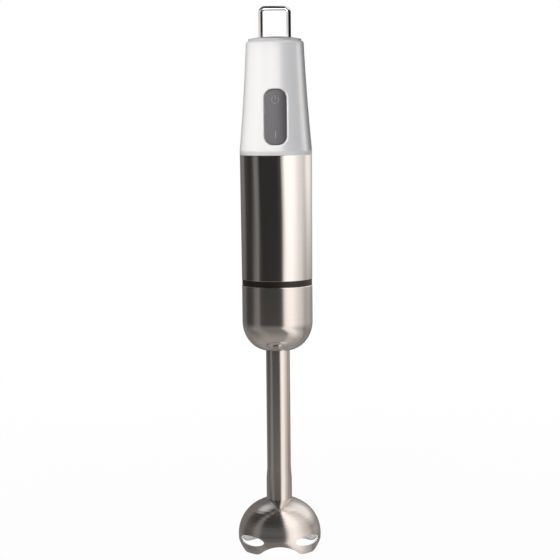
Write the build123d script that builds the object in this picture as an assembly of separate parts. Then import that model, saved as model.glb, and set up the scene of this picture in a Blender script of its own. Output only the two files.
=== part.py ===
"""A cordless immersion blender, in millimetres.

The axis of the blender is Z. The blade guard stands on Z = 0, and the button faces -Y.
"""
from build123d import *
import math
import os

# Clearances
press_gap = 0.02      # bushes, bearings and magnets in their seats
running_gap = 0.05    # a shaft in its bush, or a pin in its eye
slip_gap = 0.15       # covers and plugs that slide together
moving_gap = 0.3      # pieces that move past each other
past = 1.0            # how far a cut runs past what it cuts
weld = 0.5            # how far two forms of one piece reach into each other
near = 0.01           # places this close count as one

# Blade guard, drawn from steel sheet
guard_diameter = 65.0
guard_wall = 1.1
widest_level = 11.2      # height of the widest place
dome_rise = 29.4         # from there to the top of the dome
dome_lean = 55.9         # degrees, where the shoulder's arc goes over into the dome's
skirt_radius = 42.6      # radius of the side below the widest place
lobe_count = 4
arch_width = 38.0        # between the flats of two lobes
arch_height = 7.4
arch_corner = 7.0
arch_sink = 0.06         # the corners reach this far below the rim, so that they cross it
window_width = 25.0
window_height = 7.8
window_level = 10.3
neck_wall = 0.6
neck_length = 24.0
neck_taper = 5.0

# Tube and bell of the foot
tube_diameter = 18.7
tube_wall = 0.9
exposed_tube = 118.3     # from the guard's crown to the bell
tube_insert = 8.0
bell_wall = 0.9
bell_height = 51.7
bell_round_width = 20.0
bell_round_height = 23.0
bell_edge_round = 0.4

# Twist lock between the foot and the motor unit
spigot_diameter = 40.8
spigot_wall = 2.8
spigot_length = 14.0
spigot_end_gap = 0.8
lug_count = 3
lug_reach = 2.2
lug_height = 3.0
lug_lift = 1.5
lug_sweep = 24.0         # degrees
twist_angle = 30.0       # degrees from locked to free
twist_play = 1.5         # degrees
core_floor = 3.5
stem_wall = 5.5

# Drive line of the foot
shaft_diameter = 6.0
shaft_relief = 0.6
bush_wall = 2.0
bush_length = 12.0
flange_thickness = 1.5
flange_reach = 2.0
washer_reach = 2.6
washer_thickness = 0.8
clip_thickness = 0.8
clip_reach = 1.8
clip_depth = 0.6
clip_mouth = 4.4
thrust_play = 0.1
coupler_flats = 10.0
coupler_height = 11.0
coupler_gap = 0.25
coupler_wall = 3.2
coupler_web = 2.0
coupler_grip = 11.0

# Seal and blade
carrier_length = 20.0
carrier_nose = 7.0
carrier_flange = 2.4
lower_bush_rise = 4.0
seal_height = 4.0
seal_wall = 3.0
collar_wall = 1.8
blade_level = 17.0       # underside of the blade's flat
blade_span = 46.0
blade_thickness = 1.6
blade_root = 12.0
blade_tip = 7.0
blade_sweep = 1.6        # bulge of the leading edge
blade_heel = 3.0         # corner cut off behind the tip
blade_flat = 13.0        # length of the flat between the bends
blade_rise = 22.0        # degrees, the raised wing
blade_fall = 16.0        # degrees, the lowered wing
blade_edge_depth = 1.0
blade_edge_width = 2.0
nut_flats = 11.0
nut_height = 5.0
nut_crown = 1.6

# Motor base and steel sleeve
ring_height = 4.6
ring_inset = 0.2
base_hole_diameter = 23.2
collar_height = 6.0
collar_thickness = 2.0
sleeve_length = 96.6
sleeve_wall = 0.8
sleeve_flare = 0.5       # how much wider the sleeve's radius is at its top than the bell's

# Motor
motor_length = 54.0
can_wall = 1.5
motor_shaft_diameter = 5.0
bearing_wall = 3.0
bearing_length = 7.0
boss_wall = 2.4
boss_drop = 3.0
magnet_thickness = 3.2
magnet_length = 32.0
magnet_sweep = 130.0     # degrees
air_gap = 0.4
core_length = 25.0
core_lift = 12.5
slot_count = 10
slot_radius = 2.3
slot_mouth = 1.4
slot_skin = 4.6
end_turn_height = 6.0
end_turn_round = 2.0
commutator_diameter = 14.0
commutator_length = 8.0
commutator_clear = 1.0
commutator_slit = 0.5
commutator_slit_depth = 1.4
brush_width = 5.0
brush_height = 4.8
brush_length = 9.0
brush_box_wall = 1.8
end_bell_thickness = 5.0
end_bell_spigot = 3.0
end_bell_boss = 5.0
damper_height = 6.0
carrier_wall = 1.8
carrier_clear = 1.6      # room round the motor
carrier_floor = 3.0
carrier_height = 89.5    # length of the motor's carrier
carrier_floor_clear = 0.8

# Screws
screw_diameter = 3.0
screw_head_diameter = 5.4
screw_head_height = 2.0
screw_boss_diameter = 6.6
base_screw_circle = 28.8
motor_screw_circle = 29.0
chassis_screw_inset = 3.6   # from the carrier's bore
chassis_boss_length = 11.0
base_screw_bite = 7.0
base_screw_turn = 90.0   # degrees, where the first one stands
chassis_screw_turn = 30.0
screw_end_gap = 2.0      # from a screw's end to the end of its hole

# Handle
trim_height = 3.0
trim_wall = 2.0
trim_proud = 0.1         # how far the handle stands out from the sleeve
trim_lip = 4.0
grip_length = 84.1
grip_low_diameter = 56.2
grip_top_diameter = 44.5
grip_hollow = 0.5        # how far the side is drawn in at mid height
grip_wall = 2.2
grip_edge_round = 1.6
cap_diameter = 41.0
cap_edge = 1.7           # height of the cap's rim over the handle
cap_rise = 3.7

# Hanging loop
wire_diameter = 3.4
loop_spacing = 21.7
loop_rise = 27.0         # from the top of the handle to the top of the loop
loop_corner = 3.4
foot_corner = 1.8
foot_reach = 4.6
pivot_depth = 3.9        # below the top of the handle
keeper_thickness = 3.4
loop_slot_gap = 0.4
cap_screw_spread = 12.5

# Chassis, battery and boards
plate_thickness = 3.0
cell_diameter = 18.2
cell_length = 65.0
cell_gap = 0.5
cell_edge_round = 0.8
cell_pole_diameter = 6.0
cell_pole_height = 1.0
cell_setback = 4.5
cell_rest_width = 8.0
cell_rest_gap = 0.8
tab_thickness = 0.3
tab_width = 7.0
strap_wall = 0.8
strap_gap = 0.2
strap_height = 9.0
spine_wall = 1.8
spine_width = 26.0
top_plate_thickness = 2.5
top_plate_diameter = 30.0
standoff_diameter = 4.4
board_thickness = 1.6
board_width = 22.0
board_length = 60.0
board_lift = 4.0
board_screw_inset = 3.4
board_screw_diameter = 2.0
board_head_diameter = 3.6
board_head_height = 1.2
component_clear = 1.2    # from the components to the spine
transistor_width = 4.4
transistor_length = 6.0
transistor_spread = 6.0
transistor_lift = 8.0    # from the board's lower end
coil_diameter = 9.0
coil_bore = 3.6
coil_lift = 27.0
capacitor_diameter = 5.2
capacitor_spread = 8.0
capacitor_lift = 42.0
shelf_gap = 0.8
shelf_thickness = 2.0
shelf_width = 16.0
socket_seat = 3.5        # length of the socket that lies on its board
shelf_back_off = 1.5
charge_board_thickness = 1.2
socket_width = 9.0
socket_height = 3.3
socket_length = 7.6
socket_wall = 0.35
socket_recess = 0.5
socket_fit = 0.25
socket_back = 1.0
tongue_width = 6.6
tongue_length = 6.1
tongue_thickness = 0.7
lead_diameter = 1.8
lead_spacing = 7.0
lead_bend_share = 0.4    # of the room between the board and the spine

# Rocker button
button_width = 16.7
button_height = 41.0
button_corner = 6.0
button_lift = 26.0       # from the handle's lower edge to the button's middle
button_gap = 0.45
button_inset = 0.5
button_edge = 0.5
key_thickness = 5.8      # of the button at its middle
bezel_round = 1.4
switch_spread = 28.0
switch_size = 6.0
switch_height = 3.5
plunger_diameter = 3.4
plunger_height = 0.8
switch_travel = 0.7
rocker_back = 1.2        # from the plungers to the rocker's back
post_diameter = 3.0
pin_diameter = 2.4
pin_setback = 0.8        # from the plungers' tips back to the pins
bracket_wall = 1.6
bracket_height = 12.0

# Radii
guard_radius = guard_diameter / 2
lean_sine = math.sin(math.radians(dome_lean))
lean_cosine = math.cos(math.radians(dome_lean))
lean_share = lean_sine + lean_cosine - 1
dome_crown = (guard_radius * lean_sine - dome_rise * (1 - lean_cosine)) / lean_share
dome_shoulder = (dome_rise * lean_cosine - guard_radius * (1 - lean_sine)) / lean_share
tube_radius = tube_diameter / 2
tube_bore = tube_radius - tube_wall
neck_bore = tube_radius + running_gap
neck_radius = neck_bore + neck_wall
sleeve_top_radius = grip_low_diameter / 2 - trim_proud
bell_radius = sleeve_top_radius - sleeve_flare
collar_radius = bell_radius - sleeve_wall - slip_gap
carrier_radius = collar_radius - collar_thickness - slip_gap
carrier_bore = carrier_radius - carrier_wall
motor_radius = carrier_bore - carrier_clear
can_bore = motor_radius - can_wall
chassis_screw_reach = carrier_bore - chassis_screw_inset
shaft_radius = shaft_diameter / 2
bush_bore = shaft_radius + running_gap
bush_radius = bush_bore + bush_wall
spigot_radius = spigot_diameter / 2
ring_radius = bell_radius - ring_inset
coupler_radius = coupler_flats / 2 + coupler_gap + coupler_wall
motor_shaft_radius = motor_shaft_diameter / 2
bearing_bore = motor_shaft_radius + running_gap
bearing_radius = bearing_bore + bearing_wall
boss_radius = bearing_radius + boss_wall
screw_radius = screw_diameter / 2
cap_radius = cap_diameter / 2
wire_radius = wire_diameter / 2
cell_radius = cell_diameter / 2

# Heights along the axis, from the floor up
crown_centre = widest_level + dome_rise - dome_crown
crown = crown_centre + math.sqrt(dome_crown ** 2 - neck_radius ** 2)
tube_low = crown_centre + math.sqrt((dome_crown - guard_wall) ** 2 - neck_bore ** 2)
bell_low = crown + exposed_tube
tube_top = bell_low + tube_insert
core_low = bell_low + bell_round_height
bell_rim = bell_low + bell_height
base_low = bell_rim + moving_gap
base_top = bell_rim + ring_height
sleeve_top = base_top + sleeve_length
trim_top = sleeve_top + trim_height
grip_top = trim_top + grip_length
cap_top = grip_top + cap_rise
spigot_low = base_low - spigot_length
socket_floor = spigot_low - spigot_end_gap
flange_top = socket_floor + flange_thickness
washer_low = flange_top + thrust_play
clip_low = washer_low + washer_thickness
driven_low = clip_low + clip_thickness
driven_top = driven_low + coupler_height
drive_low = driven_low + coupler_gap * 2
drive_socket_top = driven_top + coupler_gap * 2
rotor_low = drive_socket_top + coupler_web
drive_top = rotor_low + coupler_grip
carrier_floor_low = drive_top + carrier_floor_clear
can_low = carrier_floor_low + carrier_floor
can_top = can_low + motor_length
end_bell_top = can_top + end_bell_thickness
armature_low = can_low + core_lift
armature_top = armature_low + core_length
commutator_top = can_top - commutator_clear
carrier_top = base_top + carrier_height
plate_top = carrier_top + plate_thickness
cell_low = plate_top + screw_head_height + cell_rest_gap
cell_top = cell_low + cell_length
shelf_low = cell_top + tab_thickness + shelf_gap
shelf_top = shelf_low + shelf_thickness
socket_level = shelf_top + charge_board_thickness + socket_height / 2
pivot_level = grip_top - pivot_depth
keeper_low = pivot_level - keeper_thickness
button_level = trim_top + button_lift
top_plate_low = keeper_low - top_plate_thickness


def grip_radius(height):
    """Outside radius of the handle at a height."""
    share = (height - trim_top) / grip_length
    straight = (grip_low_diameter + (grip_top_diameter - grip_low_diameter) * share) / 2
    return straight - 4 * grip_hollow * share * (1 - share)


# Depths, front to back
rocker_rear = button_inset + key_thickness - grip_radius(button_level)
plunger_tip = rocker_rear + rocker_back
pin_depth = plunger_tip + pin_setback
board_front = plunger_tip + plunger_height + switch_height
board_back = board_front + board_thickness
spine_back = cell_setback - cell_radius - strap_gap - strap_wall
spine_front = spine_back - spine_wall
standoff_length = spine_front - board_back

on_floor = (Align.CENTER, Align.CENTER, Align.MIN)
BOTH_WAYS = (1, -1)


def rod(radius, low, high):
    """A round bar on the axis, from one height to another."""
    return Pos(0, 0, low) * Cylinder(radius, high - low, align=on_floor)


def pipe(outer, inner, low, high):
    """A hollow bar on the axis."""
    return rod(outer, low, high) - rod(inner, low - past, high + past)


def block(xs, ys, zs):
    """A box between two places on each axis."""
    size = [abs(b - a) for a, b in (xs, ys, zs)]
    middle = [(a + b) / 2 for a, b in (xs, ys, zs)]
    return Pos(*middle) * Box(*size)


def turned(edges):
    """A closed outline of radius and height, turned about the axis."""
    return revolve(Plane.XZ * make_face(edges), Axis.Z)


def sector(inner, outer, low, high, middle, sweep):
    """Part of a ring, with its middle at an angle about the axis."""
    section = Pos((inner + outer) / 2, (low + high) / 2) * Rectangle(outer - inner, high - low)
    return Rot(0, 0, middle - sweep / 2) * revolve(Plane.XZ * section, Axis.Z, sweep)


def around(count, shape, start=0.0):
    """Copies of a shape, evenly spaced about the axis."""
    return [Rot(0, 0, start + 360 / count * i) * shape for i in range(count)]


def screw(length, diameter=screw_diameter, head=screw_head_diameter, head_height=screw_head_height):
    """A pan-head screw with its head's underside at the origin, pointing up."""
    shank = rod(diameter / 2, -head_height / 2, length)
    cap = rod(head / 2, -head_height, 0)
    return shank + fillet(cap.faces().sort_by(Axis.Z)[0].edges(), head_height / 3)


def grip_body(inset, low=trim_top, high=grip_top):
    """The handle's outer form, drawn in by a distance."""
    middle = (low + high) / 2
    side = ThreePointArc(
        (grip_radius(low) - inset, low),
        (grip_radius(middle) - inset, middle),
        (grip_radius(high) - inset, high),
    )
    rest = Polyline((grip_radius(high) - inset, high), (0, high), (0, low), (grip_radius(low) - inset, low))
    return turned([side, rest])


def sleeve_radius(height):
    """Outside radius of the steel sleeve at a height."""
    share = (height - base_top) / sleeve_length
    return bell_radius + (sleeve_top_radius - bell_radius) * share


def guard_side(inset):
    """Arcs of the guard's side from its rim to its neck, drawn in by a distance."""
    neck = math.degrees(math.acos((neck_bore if inset else neck_radius) / (dome_crown - inset)))
    foot = math.degrees(math.asin(widest_level / (skirt_radius - inset)))
    return [
        CenterArc((guard_radius - skirt_radius, widest_level), skirt_radius - inset, -foot, foot),
        CenterArc((guard_radius - dome_shoulder, widest_level), dome_shoulder - inset, 0, dome_lean),
        CenterArc((0, crown_centre), dome_crown - inset, dome_lean, neck - dome_lean),
    ]


def rim_arch():
    """An arch between two lobes, flowing into them by round corners, as a bar to cut away."""
    half = arch_width / 2
    corner_level = arch_corner - arch_sink
    lift = corner_level - arch_height
    radius = (half ** 2 + lift ** 2 - arch_corner ** 2) / (2 * (arch_height + arch_sink))
    top_level = arch_height - radius
    turn = math.degrees(math.atan2(half, corner_level - top_level))
    top = CenterArc((0, top_level), radius, 90 - turn, 2 * turn)
    right = CenterArc((half, corner_level), arch_corner, -90, -turn)
    left = CenterArc((-half, corner_level), arch_corner, -90, turn)
    low = -arch_height
    under = Polyline((half, -arch_sink), (half, low), (-half, low), (-half, -arch_sink))
    return extrude(Plane.XZ * make_face([top, right, left, under]), guard_diameter, both=True)


def blade_guard():
    """Dome with four arches in its rim, an eye-shaped window over each lobe, and a neck."""
    outside = guard_side(0.0)
    inside = guard_side(guard_wall)
    neck_top = crown + neck_length
    neck = Polyline(
        outside[-1] @ 1, (neck_radius, neck_top - neck_taper), (neck_bore + neck_wall / 4, neck_top),
        (neck_bore, neck_top), inside[-1] @ 1)
    dome = turned(outside + inside + [neck, Line(outside[0] @ 0, inside[0] @ 0)])
    for turn in range(lobe_count // 2):
        dome = dome - Rot(0, 0, 360 / lobe_count * turn) * rim_arch()
    eye = Plane.XZ * Pos(0, window_level) * Ellipse(window_width / 2, window_height / 2)
    window = extrude(eye, guard_radius + past)
    for cut in around(lobe_count, window, 180 / lobe_count):
        dome = dome - cut
    return dome


def shaft_tube():
    return pipe(tube_radius, tube_bore, tube_low, tube_top)


def bell_form(radius, wall, low):
    """The bell's form as a closed body, drawn in by its wall."""
    centre = (bell_radius - bell_round_width, core_low)
    bottom = low + wall
    corner = EllipticalCenterArc(
        centre, bell_round_width - wall, bell_round_height - wall, -90, arc_size=90)
    rest = Polyline(
        (radius - wall, core_low), (radius - wall, bell_rim), (0, bell_rim), (0, bottom), (centre[0], bottom))
    return turned([corner, rest])


def foot_bell():
    cup = bell_form(bell_radius, 0.0, bell_low)
    lip = cup.faces().sort_by(Axis.Z)[-1].edges()
    cup = fillet(lip, bell_edge_round)
    cup = cup - bell_form(bell_radius, bell_wall, bell_low)
    return cup - rod(tube_radius + running_gap, bell_low - past, tube_top)


def foot_core():
    """Plastic core of the bell: the twist lock's socket, and a stem down into the tube."""
    outer = bell_radius - bell_wall - slip_gap
    core = rod(outer, core_low, bell_rim)
    stem_radius = bush_radius + stem_wall
    core = core - pipe(outer - spigot_wall, stem_radius, core_low - past, socket_floor - core_floor)
    core = core - rod(spigot_radius + moving_gap, socket_floor, bell_rim + past)
    core = core + rod(stem_radius, tube_top, socket_floor)
    core = core + rod(tube_bore - slip_gap, bell_low, tube_top + weld)
    core = core - rod(bush_radius + press_gap, socket_floor - bush_length, bell_rim)
    core = core - rod(shaft_radius + shaft_relief, bell_low - past, socket_floor)
    groove_low = spigot_low + lug_lift - moving_gap
    groove_top = groove_low + lug_height + 2 * moving_gap
    reach = spigot_radius + lug_reach + moving_gap
    run = lug_sweep + twist_angle + 2 * twist_play
    inner = spigot_radius - weld
    channel = sector(inner, reach, groove_low, groove_top, -twist_angle / 2, run)
    entry = sector(inner, reach, groove_low, bell_rim + past, -twist_angle, lug_sweep + 2 * twist_play)
    for cut in around(lug_count, channel + entry):
        core = core - cut
    return core


def upper_bush():
    body = pipe(bush_radius, bush_bore, socket_floor - bush_length, socket_floor)
    return body + pipe(bush_radius + flange_reach, bush_bore, socket_floor, flange_top)


def seal_carrier():
    """Plug in the lower end of the tube: it holds the lower bush and the shaft seal."""
    body = rod(tube_bore - slip_gap, tube_low, tube_low + carrier_length)
    nose = rod(tube_radius - slip_gap, tube_low - carrier_nose, tube_low)
    body = body + fillet(nose.edges().sort_by(Axis.Z)[0], carrier_flange / 2)
    body = body - rod(shaft_radius + shaft_relief, 0, tube_top)
    bush_seat = rod(bush_radius + press_gap, tube_low + lower_bush_rise, tube_top)
    seal_seat = rod(bush_bore + seal_wall + press_gap, 0, tube_low - carrier_nose + seal_height)
    return body - bush_seat - seal_seat


def lower_bush():
    low = tube_low + lower_bush_rise
    return pipe(bush_radius, bush_bore, low, low + bush_length)


def shaft_seal():
    """Rubber ring with a groove under it, which leaves a thin lip round the shaft."""
    low = tube_low - carrier_nose
    body = pipe(bush_bore + seal_wall, bush_bore, low, low + seal_height)
    lip = seal_wall / 3
    return body - pipe(bush_bore + 2 * lip, bush_bore + lip, low - past, low + seal_height / 2)


def drive_shaft():
    shaft = rod(shaft_radius, blade_level - nut_height + nut_crown, driven_top - nut_crown)
    groove = pipe(2 * shaft_radius, shaft_radius - clip_depth, clip_low, clip_low + clip_thickness)
    return shaft - groove


def thrust_washer():
    return pipe(shaft_radius + washer_reach, bush_bore, washer_low, clip_low)


def shaft_clip():
    """Spring clip in the shaft's groove, open on one side."""
    clip = pipe(shaft_radius + clip_reach, shaft_radius - clip_depth + press_gap, clip_low, driven_low)
    half = clip_mouth / 2
    reach = shaft_radius + clip_reach + past
    return clip - block((-half, half), (0, reach), (clip_low - past, driven_low + past))


def hexagon(flats, low, high):
    across = flats / math.sqrt(3)
    return Pos(0, 0, low) * extrude(RegularPolygon(across, 6), high - low)


def driven_coupler():
    dog = hexagon(coupler_flats, driven_low, driven_top)
    dog = chamfer(dog.faces().sort_by(Axis.Z)[-1].edges(), nut_crown / 2)
    return dog - rod(shaft_radius + press_gap, driven_low - past, driven_top - nut_crown)


def drive_coupler():
    cup = rod(coupler_radius, drive_low, rotor_low)
    cup = cup + rod(coupler_radius - coupler_wall / 2, rotor_low, drive_top)
    cup = cup - hexagon(coupler_flats + 2 * coupler_gap, drive_low - past, drive_socket_top)
    return cup - rod(motor_shaft_radius + press_gap, rotor_low, drive_top + past)


def blade_collar():
    top = tube_low - carrier_nose - moving_gap
    low = blade_level + blade_thickness
    return pipe(shaft_radius + collar_wall, shaft_radius + press_gap, low, top)


def blade():
    """Two-winged blade: one wing bent up, one down, with swept and bevelled leading edges."""
    half = blade_span / 2
    bend = blade_flat / 2
    run = half - bend
    rise = run * math.tan(math.radians(blade_rise))
    fall = run * math.tan(math.radians(blade_fall))
    under = [(-half, -fall), (-bend, 0), (bend, 0), (half, rise)]
    over = [(x, z + blade_thickness) for x, z in reversed(under)]
    strip = extrude(Plane.XZ * make_face(Polyline(*under, *over, close=True)), blade_root, both=True)
    root = blade_root / 2
    point = (half, blade_tip - root)
    wing = make_face([
        SagittaArc((bend, root), point, blade_sweep),
        Polyline(
            point, (half, blade_heel - root), (half - blade_heel, -root),
            (0, -root), (0, root), (bend, root)),
    ])
    outline = wing + Rot(0, 0, 180) * wing
    plan = extrude(outline, blade_span, both=True)
    body = strip & plan
    for side in BOTH_WAYS:
        flank = body.faces().filter_by(GeomType.CYLINDER).sort_by(Axis.X)[-1 if side > 0 else 0]
        leading = flank.edges().filter_by(GeomType.ELLIPSE).sort_by(Axis.Z)[-1]
        body = chamfer(leading, blade_edge_depth, blade_edge_width, reference=flank)
    body = body - rod(shaft_radius + press_gap, -past, blade_thickness + past)
    return Rot(0, 0, 90) * Pos(0, 0, blade_level) * body


def blade_nut():
    nut = hexagon(nut_flats, blade_level - nut_height, blade_level)
    low = nut.faces().sort_by(Axis.Z)[0].edges()
    nut = chamfer(low, nut_crown / 2)
    return nut - rod(shaft_radius + press_gap, blade_level - nut_height + nut_crown, blade_level + past)


def motor_base():
    """Black end of the motor unit: its edge shows, its spigot and lugs lock the foot."""
    hole = base_hole_diameter / 2
    base = pipe(ring_radius, hole, base_low, base_top)
    base = base + pipe(spigot_radius, spigot_radius - spigot_wall, spigot_low, base_low)
    base = base + pipe(collar_radius, collar_radius - collar_thickness, base_top, base_top + collar_height)
    lug_low = spigot_low + lug_lift
    lug = sector(spigot_radius - weld, spigot_radius + lug_reach, lug_low, lug_low + lug_height, 0, lug_sweep)
    for copy in around(lug_count, lug):
        base = base + copy
    hole = Pos(base_screw_circle / 2, 0, 0) * rod(screw_radius + slip_gap, spigot_low, base_top + past)
    for cut in around(lug_count, hole, base_screw_turn):
        base = base - cut
    return base


def base_seal():
    outer = base_hole_diameter / 2 - press_gap
    return pipe(outer, coupler_radius + moving_gap, base_low + moving_gap, base_top)


def base_screws():
    one = Pos(base_screw_circle / 2, 0, base_low) * screw(base_top - base_low + base_screw_bite)
    return around(lug_count, one, base_screw_turn)


def motor_housing():
    """Polished steel sleeve, slightly tapered."""
    low = sleeve_radius(base_top)
    top = sleeve_radius(sleeve_top)
    return turned(Polyline(
        (low - sleeve_wall, base_top), (low, base_top), (top, sleeve_top), (top - sleeve_wall, sleeve_top),
        (low - sleeve_wall, base_top)))


def motor_carrier():
    """Plastic cup that holds the motor, screwed to the base below and the chassis above."""
    cup = pipe(carrier_radius, carrier_bore, base_top, carrier_top)
    cup = cup + pipe(carrier_bore + carrier_wall / 2, boss_radius + moving_gap, carrier_floor_low, can_low)
    low_boss = Pos(base_screw_circle / 2, 0, 0) * rod(screw_boss_diameter / 2, base_top, can_low)
    high_boss = Pos(chassis_screw_reach, 0, 0) * rod(
        screw_boss_diameter / 2, carrier_top - chassis_boss_length, carrier_top)
    rib_half = screw_boss_diameter / 4
    high_boss = high_boss + block(
        (chassis_screw_reach, carrier_bore + carrier_wall / 2), (-rib_half, rib_half),
        (carrier_top - chassis_boss_length, carrier_top))
    low_hole = Pos(base_screw_circle / 2, 0, 0) * rod(
        screw_radius + press_gap, base_top - past, base_top + base_screw_bite + past)
    high_hole = Pos(chassis_screw_reach, 0, 0) * rod(
        screw_radius + press_gap, carrier_top - chassis_boss_length, carrier_top + past)
    low_turn = base_screw_turn
    high_turn = chassis_screw_turn
    for boss in around(lug_count, low_boss, low_turn) + around(lug_count, high_boss, high_turn):
        cup = cup + boss
    for hole in around(lug_count, low_hole, low_turn) + around(lug_count, high_hole, high_turn):
        cup = cup - hole
    motor_hole = Pos(motor_screw_circle / 2, 0, 0) * rod(
        screw_radius + slip_gap, carrier_floor_low - past, can_low + past)
    for hole in around(2, motor_hole):
        cup = cup - hole
    return cup


def motor_screws():
    one = Pos(motor_screw_circle / 2, 0, carrier_floor_low) * screw(carrier_floor + can_wall)
    return around(2, one)


def motor_can():
    can = rod(motor_radius, can_low, can_top) - rod(can_bore, can_low + can_wall, can_top + past)
    can = can + rod(boss_radius, can_low - boss_drop, can_low)
    can = can - rod(bearing_radius + press_gap, can_low - boss_drop - past, can_low + can_wall + past)
    hole = Pos(motor_screw_circle / 2, 0, 0) * rod(
        screw_radius + press_gap, can_low - past, can_low + can_wall + past)
    for cut in around(2, hole):
        can = can - cut
    return can


def motor_magnets():
    low = armature_low - (magnet_length - core_length) / 2
    outer = can_bore - press_gap
    one = sector(outer - magnet_thickness, outer, low, low + magnet_length, 90, magnet_sweep)
    return around(2, one)


def motor_lower_bearing():
    low = can_low - boss_drop
    return pipe(bearing_radius, bearing_bore, low, low + bearing_length)


def motor_end_bell():
    """Plastic end of the motor, with its bearing's boss and two brush boxes."""
    bell = rod(motor_radius, can_top, end_bell_top)
    spigot = can_bore - slip_gap
    bell = bell + pipe(spigot, spigot - can_wall, can_top - end_bell_spigot, can_top + weld)
    bell = bell + rod(boss_radius, end_bell_top, end_bell_top + end_bell_boss)
    half_width = brush_width / 2 + brush_box_wall
    box_low = commutator_top - commutator_length / 2 - brush_height / 2 - brush_box_wall
    inner = commutator_diameter / 2 + brush_box_wall
    outer = commutator_diameter / 2 + running_gap + brush_length
    hole_half = brush_width / 2 + press_gap
    hole_low = box_low + brush_box_wall - press_gap
    hole_top = box_low + brush_box_wall + brush_height + press_gap
    box = block((inner, outer), (-half_width, half_width), (box_low, can_top + weld))
    guide = block((0, outer), (-hole_half, hole_half), (hole_low, hole_top))
    for part in around(2, box):
        bell = bell + part
    for part in around(2, guide):
        bell = bell - part
    boss_top = end_bell_top + end_bell_boss
    seat = rod(bearing_radius + press_gap, boss_top - bearing_length, boss_top + past)
    return bell - seat - rod(motor_shaft_radius + shaft_relief, can_top - past, end_bell_top)


def motor_upper_bearing():
    top = end_bell_top + end_bell_boss
    return pipe(bearing_radius, bearing_bore, top - bearing_length, top)


def motor_brushes():
    low = commutator_top - commutator_length / 2 - brush_height / 2
    inner = commutator_diameter / 2 + running_gap
    half = brush_width / 2
    brush = block((0, inner + brush_length), (-half, half), (low, low + brush_height))
    return around(2, brush - rod(inner, low - past, low + brush_height + past))


def motor_damper():
    high = can_top - end_bell_thickness
    return pipe(carrier_bore - press_gap, motor_radius + press_gap, high - damper_height, high)


def rotor_shaft():
    return rod(motor_shaft_radius, rotor_low + press_gap, end_bell_top + end_bell_boss)


def armature_radius():
    return can_bore - press_gap - magnet_thickness - air_gap


def slot_circle():
    return armature_radius() - slot_skin


def rotor_core():
    """Stack of laminations with a winding slot between each pair of poles."""
    stack = pipe(armature_radius(), motor_shaft_radius + press_gap, armature_low, armature_top)
    low = armature_low - past
    top = armature_top + past
    pocket = Pos(slot_circle(), 0, 0) * rod(slot_radius, low, top)
    mouth = block((slot_circle(), armature_radius() + past), (-slot_mouth / 2, slot_mouth / 2), (low, top))
    for cut in around(slot_count, pocket + mouth):
        stack = stack - cut
    return stack


def rotor_winding():
    """Copper coils: a bundle in each slot, and the end turns above and below the stack."""
    reach = slot_circle() + slot_radius + weld
    hub = motor_shaft_radius + 2 * shaft_relief
    lower = pipe(reach, hub, armature_low - end_turn_height, armature_low)
    upper = pipe(reach, hub, armature_top, armature_top + end_turn_height)
    lower = fillet(lower.faces().sort_by(Axis.Z)[0].edges(), end_turn_round)
    upper = fillet(upper.faces().sort_by(Axis.Z)[-1].edges(), end_turn_round)
    coil = lower + upper
    bundle = Pos(slot_circle(), 0, 0) * rod(slot_radius - press_gap, armature_low - weld, armature_top + weld)
    for part in around(slot_count, bundle):
        coil = coil + part
    return coil


def commutator():
    low = commutator_top - commutator_length
    drum = pipe(commutator_diameter / 2, motor_shaft_radius + press_gap, low, commutator_top)
    half = commutator_slit / 2
    outer = commutator_diameter / 2
    inner = outer - commutator_slit_depth
    slit = block((inner, outer + past), (-half, half), (low - past, commutator_top + past))
    for cut in around(slot_count, slit):
        drum = drum - cut
    return drum


def trim_ring():
    """Thin white ring between the steel and the handle, with a lip into each."""
    outer = grip_low_diameter / 2
    low_lip = sleeve_radius(sleeve_top - trim_lip) - sleeve_wall - slip_gap
    high_lip = grip_radius(trim_top + trim_lip) - grip_wall - slip_gap
    inner = min(low_lip, high_lip) - trim_wall
    ring = pipe(outer, inner, sleeve_top, trim_top)
    ring = ring + pipe(low_lip, inner, sleeve_top - trim_lip, sleeve_top)
    return ring + pipe(high_lip, inner, trim_top, trim_top + trim_lip)


def button_outline(extra):
    """Rounded outline of the button, grown by a distance, as a bar that runs front to back."""
    outline = RectangleRounded(button_width + 2 * extra, button_height + 2 * extra, button_corner + extra)
    return extrude(Plane.XZ * Pos(0, button_level) * outline, grip_low_diameter)


def socket_outline(extra):
    """Rounded slot of the charge socket, grown by a distance, as a bar that runs to the back."""
    slot = SlotOverall(socket_width + 2 * extra, socket_height + 2 * extra)
    return extrude(Plane.XZ * Pos(0, socket_level) * slot, -grip_low_diameter)


def handle_shell():
    shell = grip_body(0.0)
    shell = fillet(shell.faces().sort_by(Axis.Z)[-1].edges(), grip_edge_round)
    shell = shell - grip_body(grip_wall) - button_outline(button_gap)
    rim = [edge for edge in shell.edges() if on_button_rim(edge)]
    return fillet(rim, bezel_round) - socket_outline(socket_fit)


def on_button_rim(edge):
    """Whether an edge lies where the button's opening meets the handle's outer face."""
    at = edge.center()
    half_width = button_width / 2 + button_gap + near
    half_height = button_height / 2 + button_gap + near
    if at.Y > 0 or abs(at.X) > half_width or abs(at.Z - button_level) > half_height:
        return False
    return math.hypot(at.X, at.Y) > grip_radius(at.Z) - grip_wall / 2


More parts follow.
